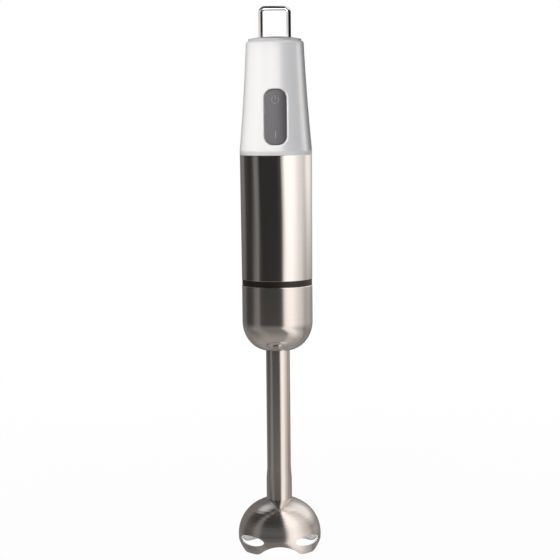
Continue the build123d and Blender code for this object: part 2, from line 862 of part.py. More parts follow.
def rocker_button():
    """Rocker key: its face follows the handle, and two posts behind it meet the switches."""
    key = grip_body(button_inset) & button_outline(0.0)
    key = key - block((-button_width, button_width), (rocker_rear, grip_low_diameter), (trim_top, grip_top))
    key = fillet([edge for edge in key.edges() if on_key_face(edge)], button_edge)
    web_half = button_width / 2 - button_gap
    web = block(
        (-web_half, web_half), (rocker_rear - weld, pin_depth),
        (button_level - pin_diameter / 2, button_level + pin_diameter / 2))
    pin_half = button_width / 2 + button_gap + bracket_wall
    pin = Pos(0, pin_depth, button_level) * Rot(0, 90, 0) * Cylinder(pin_diameter / 2, 2 * pin_half)
    key = key + web + pin
    post_tip = plunger_tip - switch_travel
    for side in BOTH_WAYS:
        middle = button_level + side * switch_spread / 2
        post = Pos(0, (post_tip + rocker_rear - weld) / 2, middle) * Rot(90, 0, 0) * Cylinder(
            post_diameter / 2, post_tip - rocker_rear + weld)
        key = key + post
    return key


def on_key_face(edge):
    """Whether an edge runs round the key's face, and not front to back or round its rear."""
    at = edge.center()
    across = abs((edge % 0.5).Y) < 0.5
    return across and at.Y < rocker_rear - near


def rocker_bracket():
    """Bearing bracket on the board, with an eye for each of the rocker's pins."""
    inner = button_width / 2 + button_gap
    outer = inner + bracket_wall
    low = button_level - bracket_height / 2
    high = button_level + bracket_height / 2
    nose = pin_depth - pin_diameter
    base = block((-outer, outer), (board_front - bracket_wall, board_front), (low, high))
    cheek = block((inner, outer), (nose, board_front), (low, high))
    bracket = base + cheek + mirror(cheek, Plane.YZ)
    eye = Pos(0, pin_depth, button_level) * Rot(0, 90, 0)
    return bracket - eye * Cylinder(pin_diameter / 2 + running_gap, 2 * (outer + past))


def tact_switches():
    """Two tact switches on the board, one behind each end of the rocker."""
    half = switch_size / 2
    switches = []
    for side in BOTH_WAYS:
        middle = button_level + side * switch_spread / 2
        depths = (board_front - switch_height, board_front)
        body = block((-half, half), depths, (middle - half, middle + half))
        plunger = Pos(0, (plunger_tip + board_front) / 2, middle) * Rot(90, 0, 0) * Cylinder(
            plunger_diameter / 2, board_front - plunger_tip)
        switches.append(body + plunger)
    return switches


def board_places():
    """Where the control board is screwed to its standoffs."""
    across = board_width / 2 - board_screw_inset
    low = plate_top + board_lift + board_screw_inset
    high = plate_top + board_lift + board_length - board_screw_inset
    return [(x, z) for x in (-across, across) for z in (low, high)]


def control_board():
    low = plate_top + board_lift
    board = block((-board_width / 2, board_width / 2), (board_front, board_back), (low, low + board_length))
    for x, z in board_places():
        hole = Pos(x, board_back, z) * Rot(90, 0, 0)
        board = board - hole * Cylinder(board_screw_diameter / 2 + slip_gap, 4 * board_thickness)
    return board


def board_components():
    """What stands on the back of the board: two power transistors, a coil and two capacitors."""
    low = plate_top + board_lift
    height = standoff_length - component_clear
    half = transistor_width / 2
    items = []
    for side in BOTH_WAYS:
        x = side * transistor_spread / 2
        items.append(block(
            (x - half, x + half), (board_back, board_back + height / 2),
            (low + transistor_lift, low + transistor_lift + transistor_length)))
        can = Pos(side * capacitor_spread / 2, board_back + height / 2, low + capacitor_lift) * Rot(90, 0, 0)
        items.append(can * Cylinder(capacitor_diameter / 2, height))
    coil = Pos(0, board_back + height / 2, low + coil_lift) * Rot(90, 0, 0)
    items.append(coil * (Cylinder(coil_diameter / 2, height) - Cylinder(coil_bore / 2, height + past)))
    return items


def board_screws():
    length = board_thickness + standoff_length / 2
    one = Rot(-90, 0, 0) * screw(length, board_screw_diameter, board_head_diameter, board_head_height)
    return [Pos(x, board_front, z) * one for x, z in board_places()]


def cell_places():
    offset = cell_radius + cell_gap / 2
    return [(-offset, cell_setback), (offset, cell_setback)]


def chassis():
    """Inner frame of the handle: plate, spine, charging shelf and top plate."""
    frame = rod(carrier_radius, carrier_top, plate_top)
    half = spine_width / 2
    frame = frame + block((-half, half), (spine_front, spine_back), (plate_top - weld, keeper_low))
    frame = frame + rod(top_plate_diameter / 2, top_plate_low, keeper_low)
    rest = cell_rest_width / 2
    for x, y in cell_places():
        frame = frame + block(
            (x - rest, x + rest), (y - rest, y + rest), (plate_top - weld, cell_low - tab_thickness))
    half = shelf_width / 2
    frame = frame + block((-half, half), (spine_front, shelf_end() - shelf_back_off), (shelf_low, shelf_top))
    for x, z in board_places():
        length = spine_front + weld - board_back
        post = Pos(x, board_back + length / 2, z) * Rot(90, 0, 0)
        hole = Pos(x, board_back, z) * Rot(90, 0, 0)
        frame = frame + post * Cylinder(standoff_diameter / 2, length)
        frame = frame - hole * Cylinder(board_screw_diameter / 2 + press_gap, standoff_length + past)
    screw_hole = rod(screw_radius + slip_gap, carrier_top - past, plate_top + past)
    head_room = rod(screw_head_diameter / 2 + slip_gap, plate_top, cell_low)
    screw_place = Pos(chassis_screw_reach, 0, 0) * (screw_hole + head_room)
    for hole in around(lug_count, screw_place, chassis_screw_turn):
        frame = frame - hole
    for side in BOTH_WAYS:
        cap_hole = rod(screw_radius + slip_gap, top_plate_low - past, keeper_low + past)
        lead_hole = rod(lead_diameter / 2 + moving_gap, carrier_top - past, plate_top + past)
        frame = frame - Pos(0, side * cap_screw_spread, 0) * cap_hole
        frame = frame - Pos(side * lead_spacing / 2, lead_depth(), 0) * lead_hole
    return frame


def chassis_screws():
    length = plate_thickness + chassis_boss_length - screw_end_gap
    one = Pos(chassis_screw_reach, 0, plate_top) * Rot(180, 0, 0) * screw(length)
    return around(lug_count, one, chassis_screw_turn)


def battery_cells():
    cells = []
    for x, y in cell_places():
        body = rod(cell_radius, cell_low, cell_top - cell_pole_height)
        body = fillet(body.edges(), cell_edge_round)
        body = body + rod(cell_pole_diameter / 2, cell_top - cell_pole_height - weld, cell_top)
        cells.append(Pos(x, y, 0) * body)
    return cells


def battery_tabs():
    """Welded strips: one joins the cells below, and one on top of each."""
    (left, y), (right, _) = cell_places()
    half = tab_width / 2
    low = block((left - half, right + half), (y - half, y + half), (cell_low - tab_thickness, cell_low))
    high = (cell_top, cell_top + tab_thickness)
    return [low] + [block((x - half, x + half), (y - half, y + half), high) for x in (left, right)]


def battery_strap():
    """Band round both cells."""
    reach = cell_radius + strap_gap
    width = cell_places()[1][0] * 2
    outer = SlotCenterToCenter(width, 2 * (reach + strap_wall))
    inner = SlotCenterToCenter(width, 2 * reach)
    low = (cell_low + cell_top - strap_height) / 2
    return Pos(0, cell_setback, low) * extrude(outer - inner, strap_height)


def charge_board():
    half = shelf_width / 2
    heights = (shelf_top, shelf_top + charge_board_thickness)
    return block((-half, half), (spine_back + moving_gap, shelf_end()), heights)


def socket_mouth():
    return grip_radius(socket_level) - socket_recess


def shelf_end():
    """How far back the charge board reaches."""
    return socket_mouth() - socket_length + socket_seat


def charge_socket():
    """Metal shell of the charge socket, with its tongue."""
    rear = socket_mouth() - socket_length
    face = Plane.XZ * Pos(0, socket_level)
    shell = extrude(face * SlotOverall(socket_width, socket_height), -socket_length)
    inside = SlotOverall(socket_width - 2 * socket_wall, socket_height - 2 * socket_wall)
    bore = Pos(0, socket_back, 0) * extrude(face * inside, -socket_length)
    half = tongue_width / 2
    thick = tongue_thickness / 2
    tongue = block((-half, half), (0, tongue_length), (socket_level - thick, socket_level + thick))
    return Pos(0, rear, 0) * (shell - bore + tongue)


def lead_depth():
    """Where the leads run, midway between the board and the spine."""
    return (board_back + spine_front) / 2


def motor_leads():
    """Two leads from the control board down through the chassis plate to the motor's end."""
    top = plate_top + board_lift + 2 * lead_diameter
    bend = lead_bend_share * standoff_length
    leads = []
    for side in BOTH_WAYS:
        x = side * lead_spacing / 2
        route = FilletPolyline(
            (x, board_back, top), (x, lead_depth(), top), (x, lead_depth(), end_bell_top), radius=bend)
        section = Plane(origin=route @ 0, z_dir=route % 0) * Circle(lead_diameter / 2)
        leads.append(sweep(section, path=route))
    return leads


def leg_slots():
    """Room for the loop's legs to fold back, as two bars to cut away."""
    half = wire_radius + loop_slot_gap
    slots = []
    for side in BOTH_WAYS:
        x = side * loop_spacing / 2
        heights = (pivot_level - half, cap_top + past)
        slots.append(block((x - half, x + half), (-half, grip_top_diameter), heights))
    return slots


def foot_bores():
    """Round seats of the loop's feet, as one bar to cut away."""
    reach = loop_spacing / 2 + foot_reach + slip_gap
    return Pos(0, 0, pivot_level) * Rot(0, 90, 0) * Cylinder(wire_radius + running_gap, 2 * reach) - block(
        (-loop_spacing / 2, loop_spacing / 2), (-wire_diameter, wire_diameter), (keeper_low, grip_top))


def cap_holes(gap):
    hole = rod(screw_radius + gap, keeper_low - past, grip_top)
    return [Pos(0, side * cap_screw_spread, 0) * hole for side in BOTH_WAYS]


def plug_radius():
    return grip_radius(grip_top) - grip_wall - slip_gap


def top_cap():
    """Domed cap with a plug into the handle and slots for the loop."""
    rise = cap_rise - cap_edge
    ball = (cap_radius ** 2 + rise ** 2) / (2 * rise)
    cap = Pos(0, 0, cap_top - ball) * Sphere(ball) & rod(cap_radius, grip_top, cap_top)
    cap = cap + rod(plug_radius(), pivot_level, grip_top)
    for cut in leg_slots() + cap_holes(press_gap):
        cap = cap - cut
    return cap - foot_bores()


def loop_keeper():
    keeper = rod(plug_radius(), keeper_low, pivot_level)
    for cut in leg_slots() + cap_holes(slip_gap):
        keeper = keeper - cut
    return keeper - foot_bores()


def cap_screws():
    length = grip_top - top_plate_low - screw_end_gap / 2
    return [Pos(0, side * cap_screw_spread, top_plate_low) * screw(length) for side in BOTH_WAYS]


def hanging_loop():
    half = loop_spacing / 2
    foot = half + foot_reach
    top = grip_top + loop_rise - wire_radius
    route = FilletPolyline(
        (foot, 0, pivot_level), (half, 0, pivot_level), (half, 0, top),
        (-half, 0, top), (-half, 0, pivot_level), (-foot, 0, pivot_level),
        radius=[foot_corner, loop_corner, loop_corner, foot_corner])
    section = Plane(origin=route @ 0, z_dir=route % 0) * Circle(wire_radius)
    return sweep(section, path=route)


pieces = [
    blade_guard, shaft_tube, foot_bell, foot_core, upper_bush, seal_carrier, lower_bush, shaft_seal,
    drive_shaft, thrust_washer, shaft_clip, driven_coupler, blade_collar, blade, blade_nut,
    motor_base, base_seal, base_screws, motor_housing, motor_carrier, motor_screws, motor_can, motor_magnets,
    motor_lower_bearing, motor_end_bell, motor_upper_bearing, motor_brushes, motor_damper,
    drive_coupler, rotor_shaft, rotor_core, rotor_winding, commutator,
    trim_ring, handle_shell, rocker_button, rocker_bracket, tact_switches, control_board, board_components,
    board_screws, chassis, chassis_screws, battery_cells, battery_tabs, battery_strap, charge_board,
    charge_socket, motor_leads, top_cap, loop_keeper, cap_screws, hanging_loop,
]

os.makedirs("parts", exist_ok=True)
for piece in pieces:
    made = piece()
    solids = made if isinstance(made, list) else [made]
    shape = Compound(children=[solid for item in solids for solid in item.solids()])
    shape.label = piece.__name__
    export_step(shape, f"parts/{piece.__name__}.step")
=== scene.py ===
"""A cordless immersion blender in steel and white plastic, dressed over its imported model."""
import math
import bpy
from mathutils import Euler, Matrix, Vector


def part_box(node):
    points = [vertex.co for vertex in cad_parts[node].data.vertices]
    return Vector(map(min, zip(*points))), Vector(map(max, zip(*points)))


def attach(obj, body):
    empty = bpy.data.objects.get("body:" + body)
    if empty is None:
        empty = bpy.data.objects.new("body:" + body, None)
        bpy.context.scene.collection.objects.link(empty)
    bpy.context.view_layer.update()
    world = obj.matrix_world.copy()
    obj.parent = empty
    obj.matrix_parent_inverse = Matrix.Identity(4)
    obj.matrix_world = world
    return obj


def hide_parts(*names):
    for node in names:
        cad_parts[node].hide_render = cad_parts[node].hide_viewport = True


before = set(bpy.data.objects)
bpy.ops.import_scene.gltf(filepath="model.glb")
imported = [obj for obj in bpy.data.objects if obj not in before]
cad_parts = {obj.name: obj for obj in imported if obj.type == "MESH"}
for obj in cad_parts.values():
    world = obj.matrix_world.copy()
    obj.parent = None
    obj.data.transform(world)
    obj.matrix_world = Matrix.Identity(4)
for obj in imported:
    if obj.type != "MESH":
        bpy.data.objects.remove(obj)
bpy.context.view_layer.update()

# Camera: a long lens in front of the button, a little above mid height and looking slightly down.
# The picture is square, and the blender leans very slightly to the left in it.
camera_focal = 108.3
camera_sensor = 36.0
camera_reach = 50.0
camera_place = (0.0022, -1.311, 0.3447)
camera_tilt = math.radians(5.76)
camera_roll = math.radians(-0.57)
bpy.ops.object.select_all(action="DESELECT")
bpy.ops.object.camera_add(location=camera_place)
camera = bpy.context.object
camera.data.lens = camera_focal
camera.data.sensor_width = camera_sensor
camera.data.clip_end = camera_reach
level_view = Euler((math.pi / 2 - camera_tilt, 0, 0)).to_matrix()
camera.rotation_euler = (level_view @ Matrix.Rotation(camera_roll, 3, "Z")).to_euler()
bpy.context.scene.camera = camera
bpy.context.scene.view_settings.view_transform = "Standard"

# Blade guard: stainless sheet drawn into a dome, with a neck that the tube is brazed into.
# Four arches are cut in its rim and an eye-shaped window over each foot, so that food can flow.
# It is satin finished on a wheel, which leaves fine rings round the axis.
mm = 0.001
guard_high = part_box("blade_guard")[1]
tube_low, tube_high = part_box("shaft_tube")
guard_radius = guard_high[0]
guard_wall = 1.1 * mm
widest_level = 11.2 * mm
dome_rise = 29.4 * mm
dome_lean = math.radians(55.9)
skirt_radius = 42.6 * mm
braze_gap = 0.05 * mm
neck_wall = 0.6 * mm
neck_bore = tube_high[0] + braze_gap
neck_radius = neck_bore + neck_wall
neck_edge = 0.1 * mm
neck_flare = 9.0 * mm
flare_steps = 12
arch_width = 38.0 * mm
arch_height = 7.4 * mm
arch_corner = 7.0 * mm
arch_sink = 0.06 * mm
window_width = 25.0 * mm
window_height = 7.8 * mm
window_level = 10.3 * mm
guard_steps = 180


def arc(centre, radius, start, end, count):
    """Points along an arc, between two angles in degrees."""
    angles = [math.radians(start + (end - start) * i / count) for i in range(count + 1)]
    return [(centre[0] + radius * math.cos(a), centre[1] + radius * math.sin(a)) for a in angles]


def trace(name, points):
    """A line of edges through points, drawn from one vertex by extruding it; edit mode stays on."""
    bpy.ops.object.select_all(action="DESELECT")
    bpy.ops.mesh.primitive_plane_add(size=mm)
    line = bpy.context.object
    line.name = name
    line.data.name = name
    bpy.ops.object.mode_set(mode="EDIT")
    bpy.ops.mesh.select_all(action="SELECT")
    bpy.ops.mesh.merge(type="CENTER")
    bpy.ops.transform.translate(value=points[0])
    for here, there in zip(points, points[1:]):
        step = [b - a for a, b in zip(here, there)]
        bpy.ops.mesh.extrude_vertices_move(TRANSFORM_OT_translate={"value": step})
    bpy.ops.mesh.select_all(action="SELECT")
    return line


def close_mesh():
    """Merges doubles and turns the faces outwards, in edit mode."""
    bpy.ops.mesh.select_all(action="SELECT")
    bpy.ops.mesh.remove_doubles(threshold=0.001 * mm)
    bpy.ops.mesh.normals_make_consistent(inside=False)
    bpy.ops.object.mode_set(mode="OBJECT")


def smooth(piece, angle=35.0):
    """Shades a piece smooth, except over edges that turn by more than an angle."""
    bpy.ops.object.select_all(action="DESELECT")
    piece.select_set(True)
    bpy.context.view_layer.objects.active = piece
    bpy.ops.object.shade_smooth_by_angle(angle=math.radians(angle))


def firm(outline, reach=0.3 * mm):
    """A closed outline with points close to the ends of its long sides, so that these shade flat."""
    points = []
    for here, there in zip(outline, outline[1:] + outline[:1]):
        points.append(here)
        length = math.dist(here, there)
        shares = (reach / length, 1 - reach / length) if length > 4 * reach else ()
        points += [(here[0] + (there[0] - here[0]) * s, here[1] + (there[1] - here[1]) * s) for s in shares]
    return points


def lathe(name, outline, steps=192):
    """A closed outline of radius and height, spun about the axis."""
    outline = firm(outline)
    piece = trace(name, [(r, 0, z) for r, z in outline + outline[:1]])
    bpy.ops.mesh.spin(steps=steps, angle=2 * math.pi, center=(0, 0, 0), axis=(0, 0, 1))
    close_mesh()
    smooth(piece)
    return piece


def bar(name, outline, near, far, turn=0.0):
    """A closed outline of x and z, drawn out from one depth to another and turned about the axis."""
    piece = trace(name, [(x, near, z) for x, z in outline])
    bpy.ops.mesh.edge_face_add()
    bpy.ops.mesh.extrude_region_move(TRANSFORM_OT_translate={"value": (0, far - near, 0)})
    close_mesh()
    piece.rotation_euler[2] = turn
    bpy.ops.object.transform_apply(location=False, rotation=True, scale=False)
    return piece


def cut(piece, cutter, kept="DIFFERENCE"):
    """Takes one closed form out of another, or keeps what they share."""
    bpy.context.view_layer.objects.active = piece
    step = piece.modifiers.new("cut", "BOOLEAN")
    step.operation = kept
    step.solver = "MANIFOLD"
    step.object = cutter
    bpy.ops.object.modifier_apply(modifier=step.name)
    bpy.data.objects.remove(cutter)


def guard_side(inset, inner_end):
    """The guard's side from its rim to its neck, drawn in by a distance."""
    lean_share = math.sin(dome_lean) + math.cos(dome_lean) - 1
    crown = (guard_radius * math.sin(dome_lean) - dome_rise * (1 - math.cos(dome_lean))) / lean_share
    shoulder = (dome_rise * math.cos(dome_lean) - guard_radius * (1 - math.sin(dome_lean))) / lean_share
    lean = math.degrees(dome_lean)
    foot = math.degrees(math.asin(widest_level / (skirt_radius - inset)))
    neck = math.degrees(math.acos(inner_end / (crown - inset)))
    side = arc((guard_radius - skirt_radius, widest_level), skirt_radius - inset, -foot, 0, 8)
    side += arc((guard_radius - shoulder, widest_level), shoulder - inset, 0, lean, 10)[1:]
    return side + arc((0, widest_level + dome_rise - crown), crown - inset, lean, neck, 30)[1:]


guard_neck = []
for step in range(flare_steps + 1):
    ease = (1 + math.cos(math.pi * step / flare_steps)) / 2
    level = guard_high[2] - neck_flare * (1 - step / flare_steps)
    guard_neck.append((neck_bore + neck_edge + (neck_wall - neck_edge) * ease, level))
guard_neck.append((neck_bore, guard_high[2]))
guard_outline = guard_side(0, neck_radius) + guard_neck + guard_side(guard_wall, neck_bore)[::-1]
guard = lathe("guard_dome", guard_outline, guard_steps)

arch_half = arch_width / 2
corner_level = arch_corner - arch_sink
arch_radius = (arch_half ** 2 + (corner_level - arch_height) ** 2 - arch_corner ** 2) / (
    2 * (arch_height + arch_sink))
arch_centre = arch_height - arch_radius
arch_turn = math.degrees(math.atan2(arch_half, corner_level - arch_centre))
arch_outline = [(arch_half, -arch_height)]
arch_outline += arc((arch_half, corner_level), arch_corner, -90, -90 - arch_turn, 14)
arch_outline += arc((0, arch_centre), arch_radius, 90 - arch_turn, 90 + arch_turn, 36)[1:-1]
arch_outline += arc((-arch_half, corner_level), arch_corner, -90 + arch_turn, -90, 14)
arch_outline += [(-arch_half, -arch_height)]
for quarter in range(2):
    cut(guard, bar("arch", arch_outline, -2 * guard_radius, 2 * guard_radius, quarter * math.pi / 2))
eye_outline = [
    (x * window_width / 2, window_level + z * window_height / 2) for x, z in arc((0, 0), 1, 0, 360, 72)[:-1]]
for quarter in range(4):
    cut(guard, bar("eye", eye_outline, -2 * guard_radius, 0, (quarter + 0.5) * math.pi / 2))
smooth(guard)
# The flare is rubbed into the tube, so its corners shine as the tube's level side does
guard_corners = [corner.vector.copy() for corner in guard.data.corner_normals]
flare_foot = guard_high[2] - neck_flare - neck_edge
for face in guard.data.polygons:
    places = [guard.data.vertices[i].co for i in face.vertices]
    looks_out = face.center.xy.dot(face.normal.xy) > 0.9 * neck_bore
    if looks_out and min(place.z for place in places) > flare_foot:
        for corner, place in zip(face.loop_indices, places):
            guard_corners[corner] = place.xy.normalized().to_3d()
guard.data.normals_split_custom_set(guard_corners)


def node(tree, kind, inputs=None, **settings):
    """A new shader node with its settings. Its inputs take values or other nodes' outputs."""
    made = tree.nodes.new("ShaderNode" + kind)
    for label, value in settings.items():
        setattr(made, label, value)
    for label, value in (inputs or {}).items():
        if isinstance(value, bpy.types.NodeSocket):
            tree.links.new(value, made.inputs[label])
        else:
            made.inputs[label].default_value = value
    return made


def new_group(name, inputs, outputs):
    """An empty shader group with named number inputs and named outputs."""
    tree = bpy.data.node_groups.new(name, "ShaderNodeTree")
    for label, value in inputs.items():
        tree.interface.new_socket(label, in_out="INPUT", socket_type="NodeSocketFloat").default_value = value
    for label in outputs:
        tree.interface.new_socket(label, in_out="OUTPUT", socket_type="NodeSocketFloat")
    return tree, tree.nodes.new("NodeGroupInput"), tree.nodes.new("NodeGroupOutput")


def stained_range(tree, inlets, fine, slow):
    """A fine noise spread over a range of roughness, with a slow noise as stains on top."""
    span = node(tree, "MapRange", {"Value": fine, "To Min": inlets["Low"], "To Max": inlets["High"]})
    middle = node(tree, "Math", {0: slow, 1: 0.5}, operation="SUBTRACT")
    terms = {0: middle.outputs[0], 1: inlets["Stain"], 2: span.outputs[0]}
    return node(tree, "Math", terms, operation="MULTIPLY_ADD").outputs[0]


# The lines that a finishing wheel leaves: noise drawn out along them, with slow stains under it
turning, turning_in, turning_out = new_group(
    "wheel lines", {"X": 25.0, "Y": 25.0, "Z": 5000.0, "Low": 0.2, "High": 0.3, "Stain": 0.05},
    ["Lines", "Roughness"])
turning_place = node(turning, "TexCoord").outputs["Object"]
turning_scale = node(turning, "CombineXYZ", {axis: turning_in.outputs[axis] for axis in "XYZ"})
turning_stretch = node(
    turning, "VectorMath", {0: turning_place, 1: turning_scale.outputs[0]}, operation="MULTIPLY")
turning_noise = node(turning, "TexNoise", {"Vector": turning_stretch.outputs[0], "Scale": 1.0, "Detail": 3.0})
turning_stain = node(turning, "TexNoise", {"Vector": turning_place, "Scale": 45.0, "Detail": 4.0})
turning_rough = stained_range(
    turning, turning_in.outputs, turning_noise.outputs["Fac"], turning_stain.outputs["Fac"])
turning.links.new(turning_noise.outputs["Fac"], turning_out.inputs["Lines"])
turning.links.new(turning_rough, turning_out.inputs["Roughness"])
relief_depth = 0.02 * mm


def two_tone(name, group, values, mask, height, pale, deep, relief, metallic):
    """A finish of two tones that a group's mask mixes, with the group's roughness and relief."""
    finish = bpy.data.materials.new(name)
    finish.use_nodes = True
    tree = finish.node_tree
    shader = tree.nodes["Principled BSDF"]
    shader.inputs["Metallic"].default_value = metallic
    skin = node(tree, "Group", values, node_tree=group).outputs
    tone = node(tree, "Mix", {"Factor": skin[mask], "A": (*deep, 1), "B": (*pale, 1)}, data_type="RGBA")
    bump = node(tree, "Bump", {"Strength": relief, "Distance": relief_depth, "Height": skin[height]})
    tree.links.new(tone.outputs["Result"], shader.inputs["Base Color"])
    tree.links.new(skin["Roughness"], shader.inputs["Roughness"])
    tree.links.new(bump.outputs["Normal"], shader.inputs["Normal"])
    return finish


def ground_metal(name, pale, deep, scales, low, high, stain, relief, metallic=1.0):
    """Metal finished on a wheel: two tones, the lines' scale on each axis, a range of roughness, relief."""
    values = dict(zip("XYZ", scales), Low=low, High=high, Stain=stain)
    return two_tone(name, turning, values, "Lines", "Lines", pale, deep, relief, metallic)


def paint(piece, finish):
    """Gives a finish to a new piece, in place of any slots that its cuts left behind."""
    piece.data.materials.clear()
    piece.data.materials.append(finish)


def dress(finish, *names):
    """Gives a finish to the model's own nodes."""
    for name in names:
        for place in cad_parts[name].material_slots:
            place.material = finish


satin_steel = ground_metal(
    "satin steel", pale=(0.78, 0.75, 0.725), deep=(0.70, 0.67, 0.65), scales=(25, 25, 5200), low=0.10,
    high=0.15, stain=0.03, relief=0.08, metallic=0.97)
# The guard's inside is blasted, so it is paler and dull: faces that look at the axis are inside
guard_steel = satin_steel.copy()
guard_steel.name = "guard steel"
guard_tree = guard_steel.node_tree
guard_shader = guard_tree.nodes["Principled BSDF"]
guard_place = node(guard_tree, "TexCoord").outputs
guard_flat = node(guard_tree, "VectorMath", {0: guard_place["Object"], 1: (1, 1, 0)}, operation="MULTIPLY")
guard_faces = node(
    guard_tree, "VectorMath", {0: guard_flat.outputs[0], 1: guard_place["Normal"]}, operation="DOT_PRODUCT")
guard_inside = node(guard_tree, "Math", {0: guard_faces.outputs["Value"], 1: 0.0}, operation="LESS_THAN")
blasted = {
    "Base Color": ("RGBA", (0.86, 0.85, 0.84, 1)), "Roughness": ("FLOAT", 0.55), "Metallic": ("FLOAT", 0.15)}
for label, (kind, dull) in blasted.items():
    target = guard_shader.inputs[label]
    satin = target.links[0].from_socket if target.is_linked else target.default_value
    side = node(guard_tree, "Mix", {"Factor": guard_inside.outputs[0], "A": satin, "B": dull}, data_type=kind)
    guard_tree.links.new(side.outputs["Result"], target)
paint(guard, guard_steel)
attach(guard, "foot")
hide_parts("blade_guard")

# Shaft tube: drawn stainless tube, brazed into the guard's neck below and the bell above.
# Its finish is the guard's, and its wall shows only at its ends.
tube_wall = 0.9 * mm
tube_outline = [
    (tube_high[0], tube_low[2]), (tube_high[0], tube_high[2]),
    (tube_high[0] - tube_wall, tube_high[2]), (tube_high[0] - tube_wall, tube_low[2])]
tube = lathe("drawn_tube", tube_outline)
paint(tube, satin_steel)
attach(tube, "foot")
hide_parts("shaft_tube")

# Foot bell: stainless sheet drawn into a cup with a round bottom, the tube's upper end in its middle.
# It hides the moulded core that locks the foot to the motor unit.
bell_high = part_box("foot_bell")[1]
bell_wall = 0.9 * mm
bell_round_width = 20.0 * mm
bell_round_height = 23.0 * mm
bell_edge = 0.7 * mm
bell_bore = tube_high[0] + braze_gap
bell_height = 51.7 * mm
bell_floor = bell_high[2] - bell_height


def bell_side(inset, hole):
    """The bell's side from its hole up to its rim, drawn in by its wall."""
    centre = (bell_high[0] - bell_round_width, bell_floor + bell_round_height)
    curve = [
        (centre[0] + x * (bell_round_width - inset), centre[1] + z * (bell_round_height - inset))
        for x, z in arc((0, 0), 1, -90, 0, 40)]
    dip = math.sqrt(1 - ((centre[0] - hole) / bell_round_width) ** 2) if hole > centre[0] else 1
    start = (hole, centre[1] - (bell_round_height - inset) * dip)
    return [start] + [point for point in curve if point[0] > hole]


bell_outline = bell_side(0, bell_bore)
bell_outline += arc((bell_high[0] - bell_edge, bell_high[2] - bell_edge), bell_edge, 0, 90, 4)
bell_outline += [(bell_high[0] - bell_wall, bell_high[2])]
bell_outline += bell_side(bell_wall, bell_bore)[::-1]
bell = lathe("bell_cup", bell_outline)
paint(bell, satin_steel)
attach(bell, "foot")
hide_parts("foot_bell")

# Foot core: grey moulding pressed into the bell, with the twist lock's slots and a stem into the tube.
# The upper bush of sintered bronze sits in its floor and carries the drive shaft.
grain, grain_in, grain_out = new_group(
    "moulded grain", {"Grain": 2500.0, "Low": 0.4, "High": 0.5, "Stain": 0.05},
    ["Grain", "Roughness", "Cloud"])
grain_place = node(grain, "TexCoord").outputs["Object"]
grain_noise = node(
    grain, "TexNoise", {"Vector": grain_place, "Scale": grain_in.outputs["Grain"], "Detail": 2.0})
grain_cloud = node(grain, "TexNoise", {"Vector": grain_place, "Scale": 30.0, "Detail": 5.0})
grain_rough = stained_range(grain, grain_in.outputs, grain_noise.outputs["Fac"], grain_cloud.outputs["Fac"])
grain.links.new(grain_noise.outputs["Fac"], grain_out.inputs["Grain"])
grain.links.new(grain_rough, grain_out.inputs["Roughness"])
grain.links.new(grain_cloud.outputs["Fac"], grain_out.inputs["Cloud"])


def moulding(name, pale, deep, size, low, high, stain, relief, metallic=0.0, gloss=0.5):
    """A moulded or cast finish: two tones in a slow cloud, and a fine grain with some relief."""
    values = {"Grain": size, "Low": low, "High": high, "Stain": stain}
    finish = two_tone(name, grain, values, "Cloud", "Grain", pale, deep, relief, metallic)
    finish.node_tree.nodes["Principled BSDF"].inputs["Specular IOR Level"].default_value = gloss
    return finish


inner_plastic = moulding(
    "inner plastic", pale=(0.33, 0.34, 0.36), deep=(0.28, 0.29, 0.31), size=2200.0, low=0.42, high=0.54,
    stain=0.06, relief=0.25)
bronze = moulding(
    "sintered bronze", pale=(0.60, 0.40, 0.20), deep=(0.48, 0.31, 0.14), size=7000.0, low=0.34, high=0.55,
    stain=0.10, relief=0.5, metallic=1.0)
dress(inner_plastic, "foot_core")
dress(bronze, "upper_bush")

# Seal carrier: moulded plug in the tube's lower end, the dark disc that shows under the dome.
# It holds the lower bush and, in its nose, the rubber seal that keeps food out of the tube.
rubber = moulding(
    "black rubber", pale=(0.030, 0.030, 0.031), deep=(0.022, 0.022, 0.023), size=1600.0, low=0.55,
    high=0.70, stain=0.08, relief=0.3)
dress(inner_plastic, "seal_carrier")
dress(bronze, "lower_bush")
dress(rubber, "shaft_seal")

# Drive shaft: ground steel rod that runs down the tube, held by a washer and a spring clip at its top.
# The six-sided dog pressed on its upper end enters the motor's socket.
shaft_steel = ground_metal(
    "shaft steel", pale=(0.63, 0.63, 0.64), deep=(0.55, 0.55, 0.56), scales=(60, 60, 6000), low=0.18,
    high=0.28, stain=0.05, relief=0.08)
screw_steel = moulding(
    "zinc plate", pale=(0.62, 0.62, 0.60), deep=(0.50, 0.51, 0.52), size=5000.0, low=0.26, high=0.38,
    stain=0.12, relief=0.2, metallic=1.0)
coupler_plastic = moulding(
    "red coupler plastic", pale=(0.50, 0.050, 0.035), deep=(0.42, 0.040, 0.030), size=2400.0, low=0.38,
    high=0.50, stain=0.06, relief=0.2)
dress(shaft_steel, "drive_shaft")
dress(screw_steel, "thrust_washer", "shaft_clip")
dress(coupler_plastic, "driven_coupler")

# Blade: stamped steel with one wing bent up and one down, ground to an edge on its leading sides.
# It is clamped between the collar on the shaft and a blind nut, and turns under the dome.
blade_steel = ground_metal(
    "blade steel", pale=(0.72, 0.72, 0.73), deep=(0.60, 0.60, 0.61), scales=(4200, 60, 300), low=0.16,
    high=0.30, stain=0.08, relief=0.15)
dress(blade_steel, "blade")
dress(shaft_steel, "blade_collar", "blade_nut")

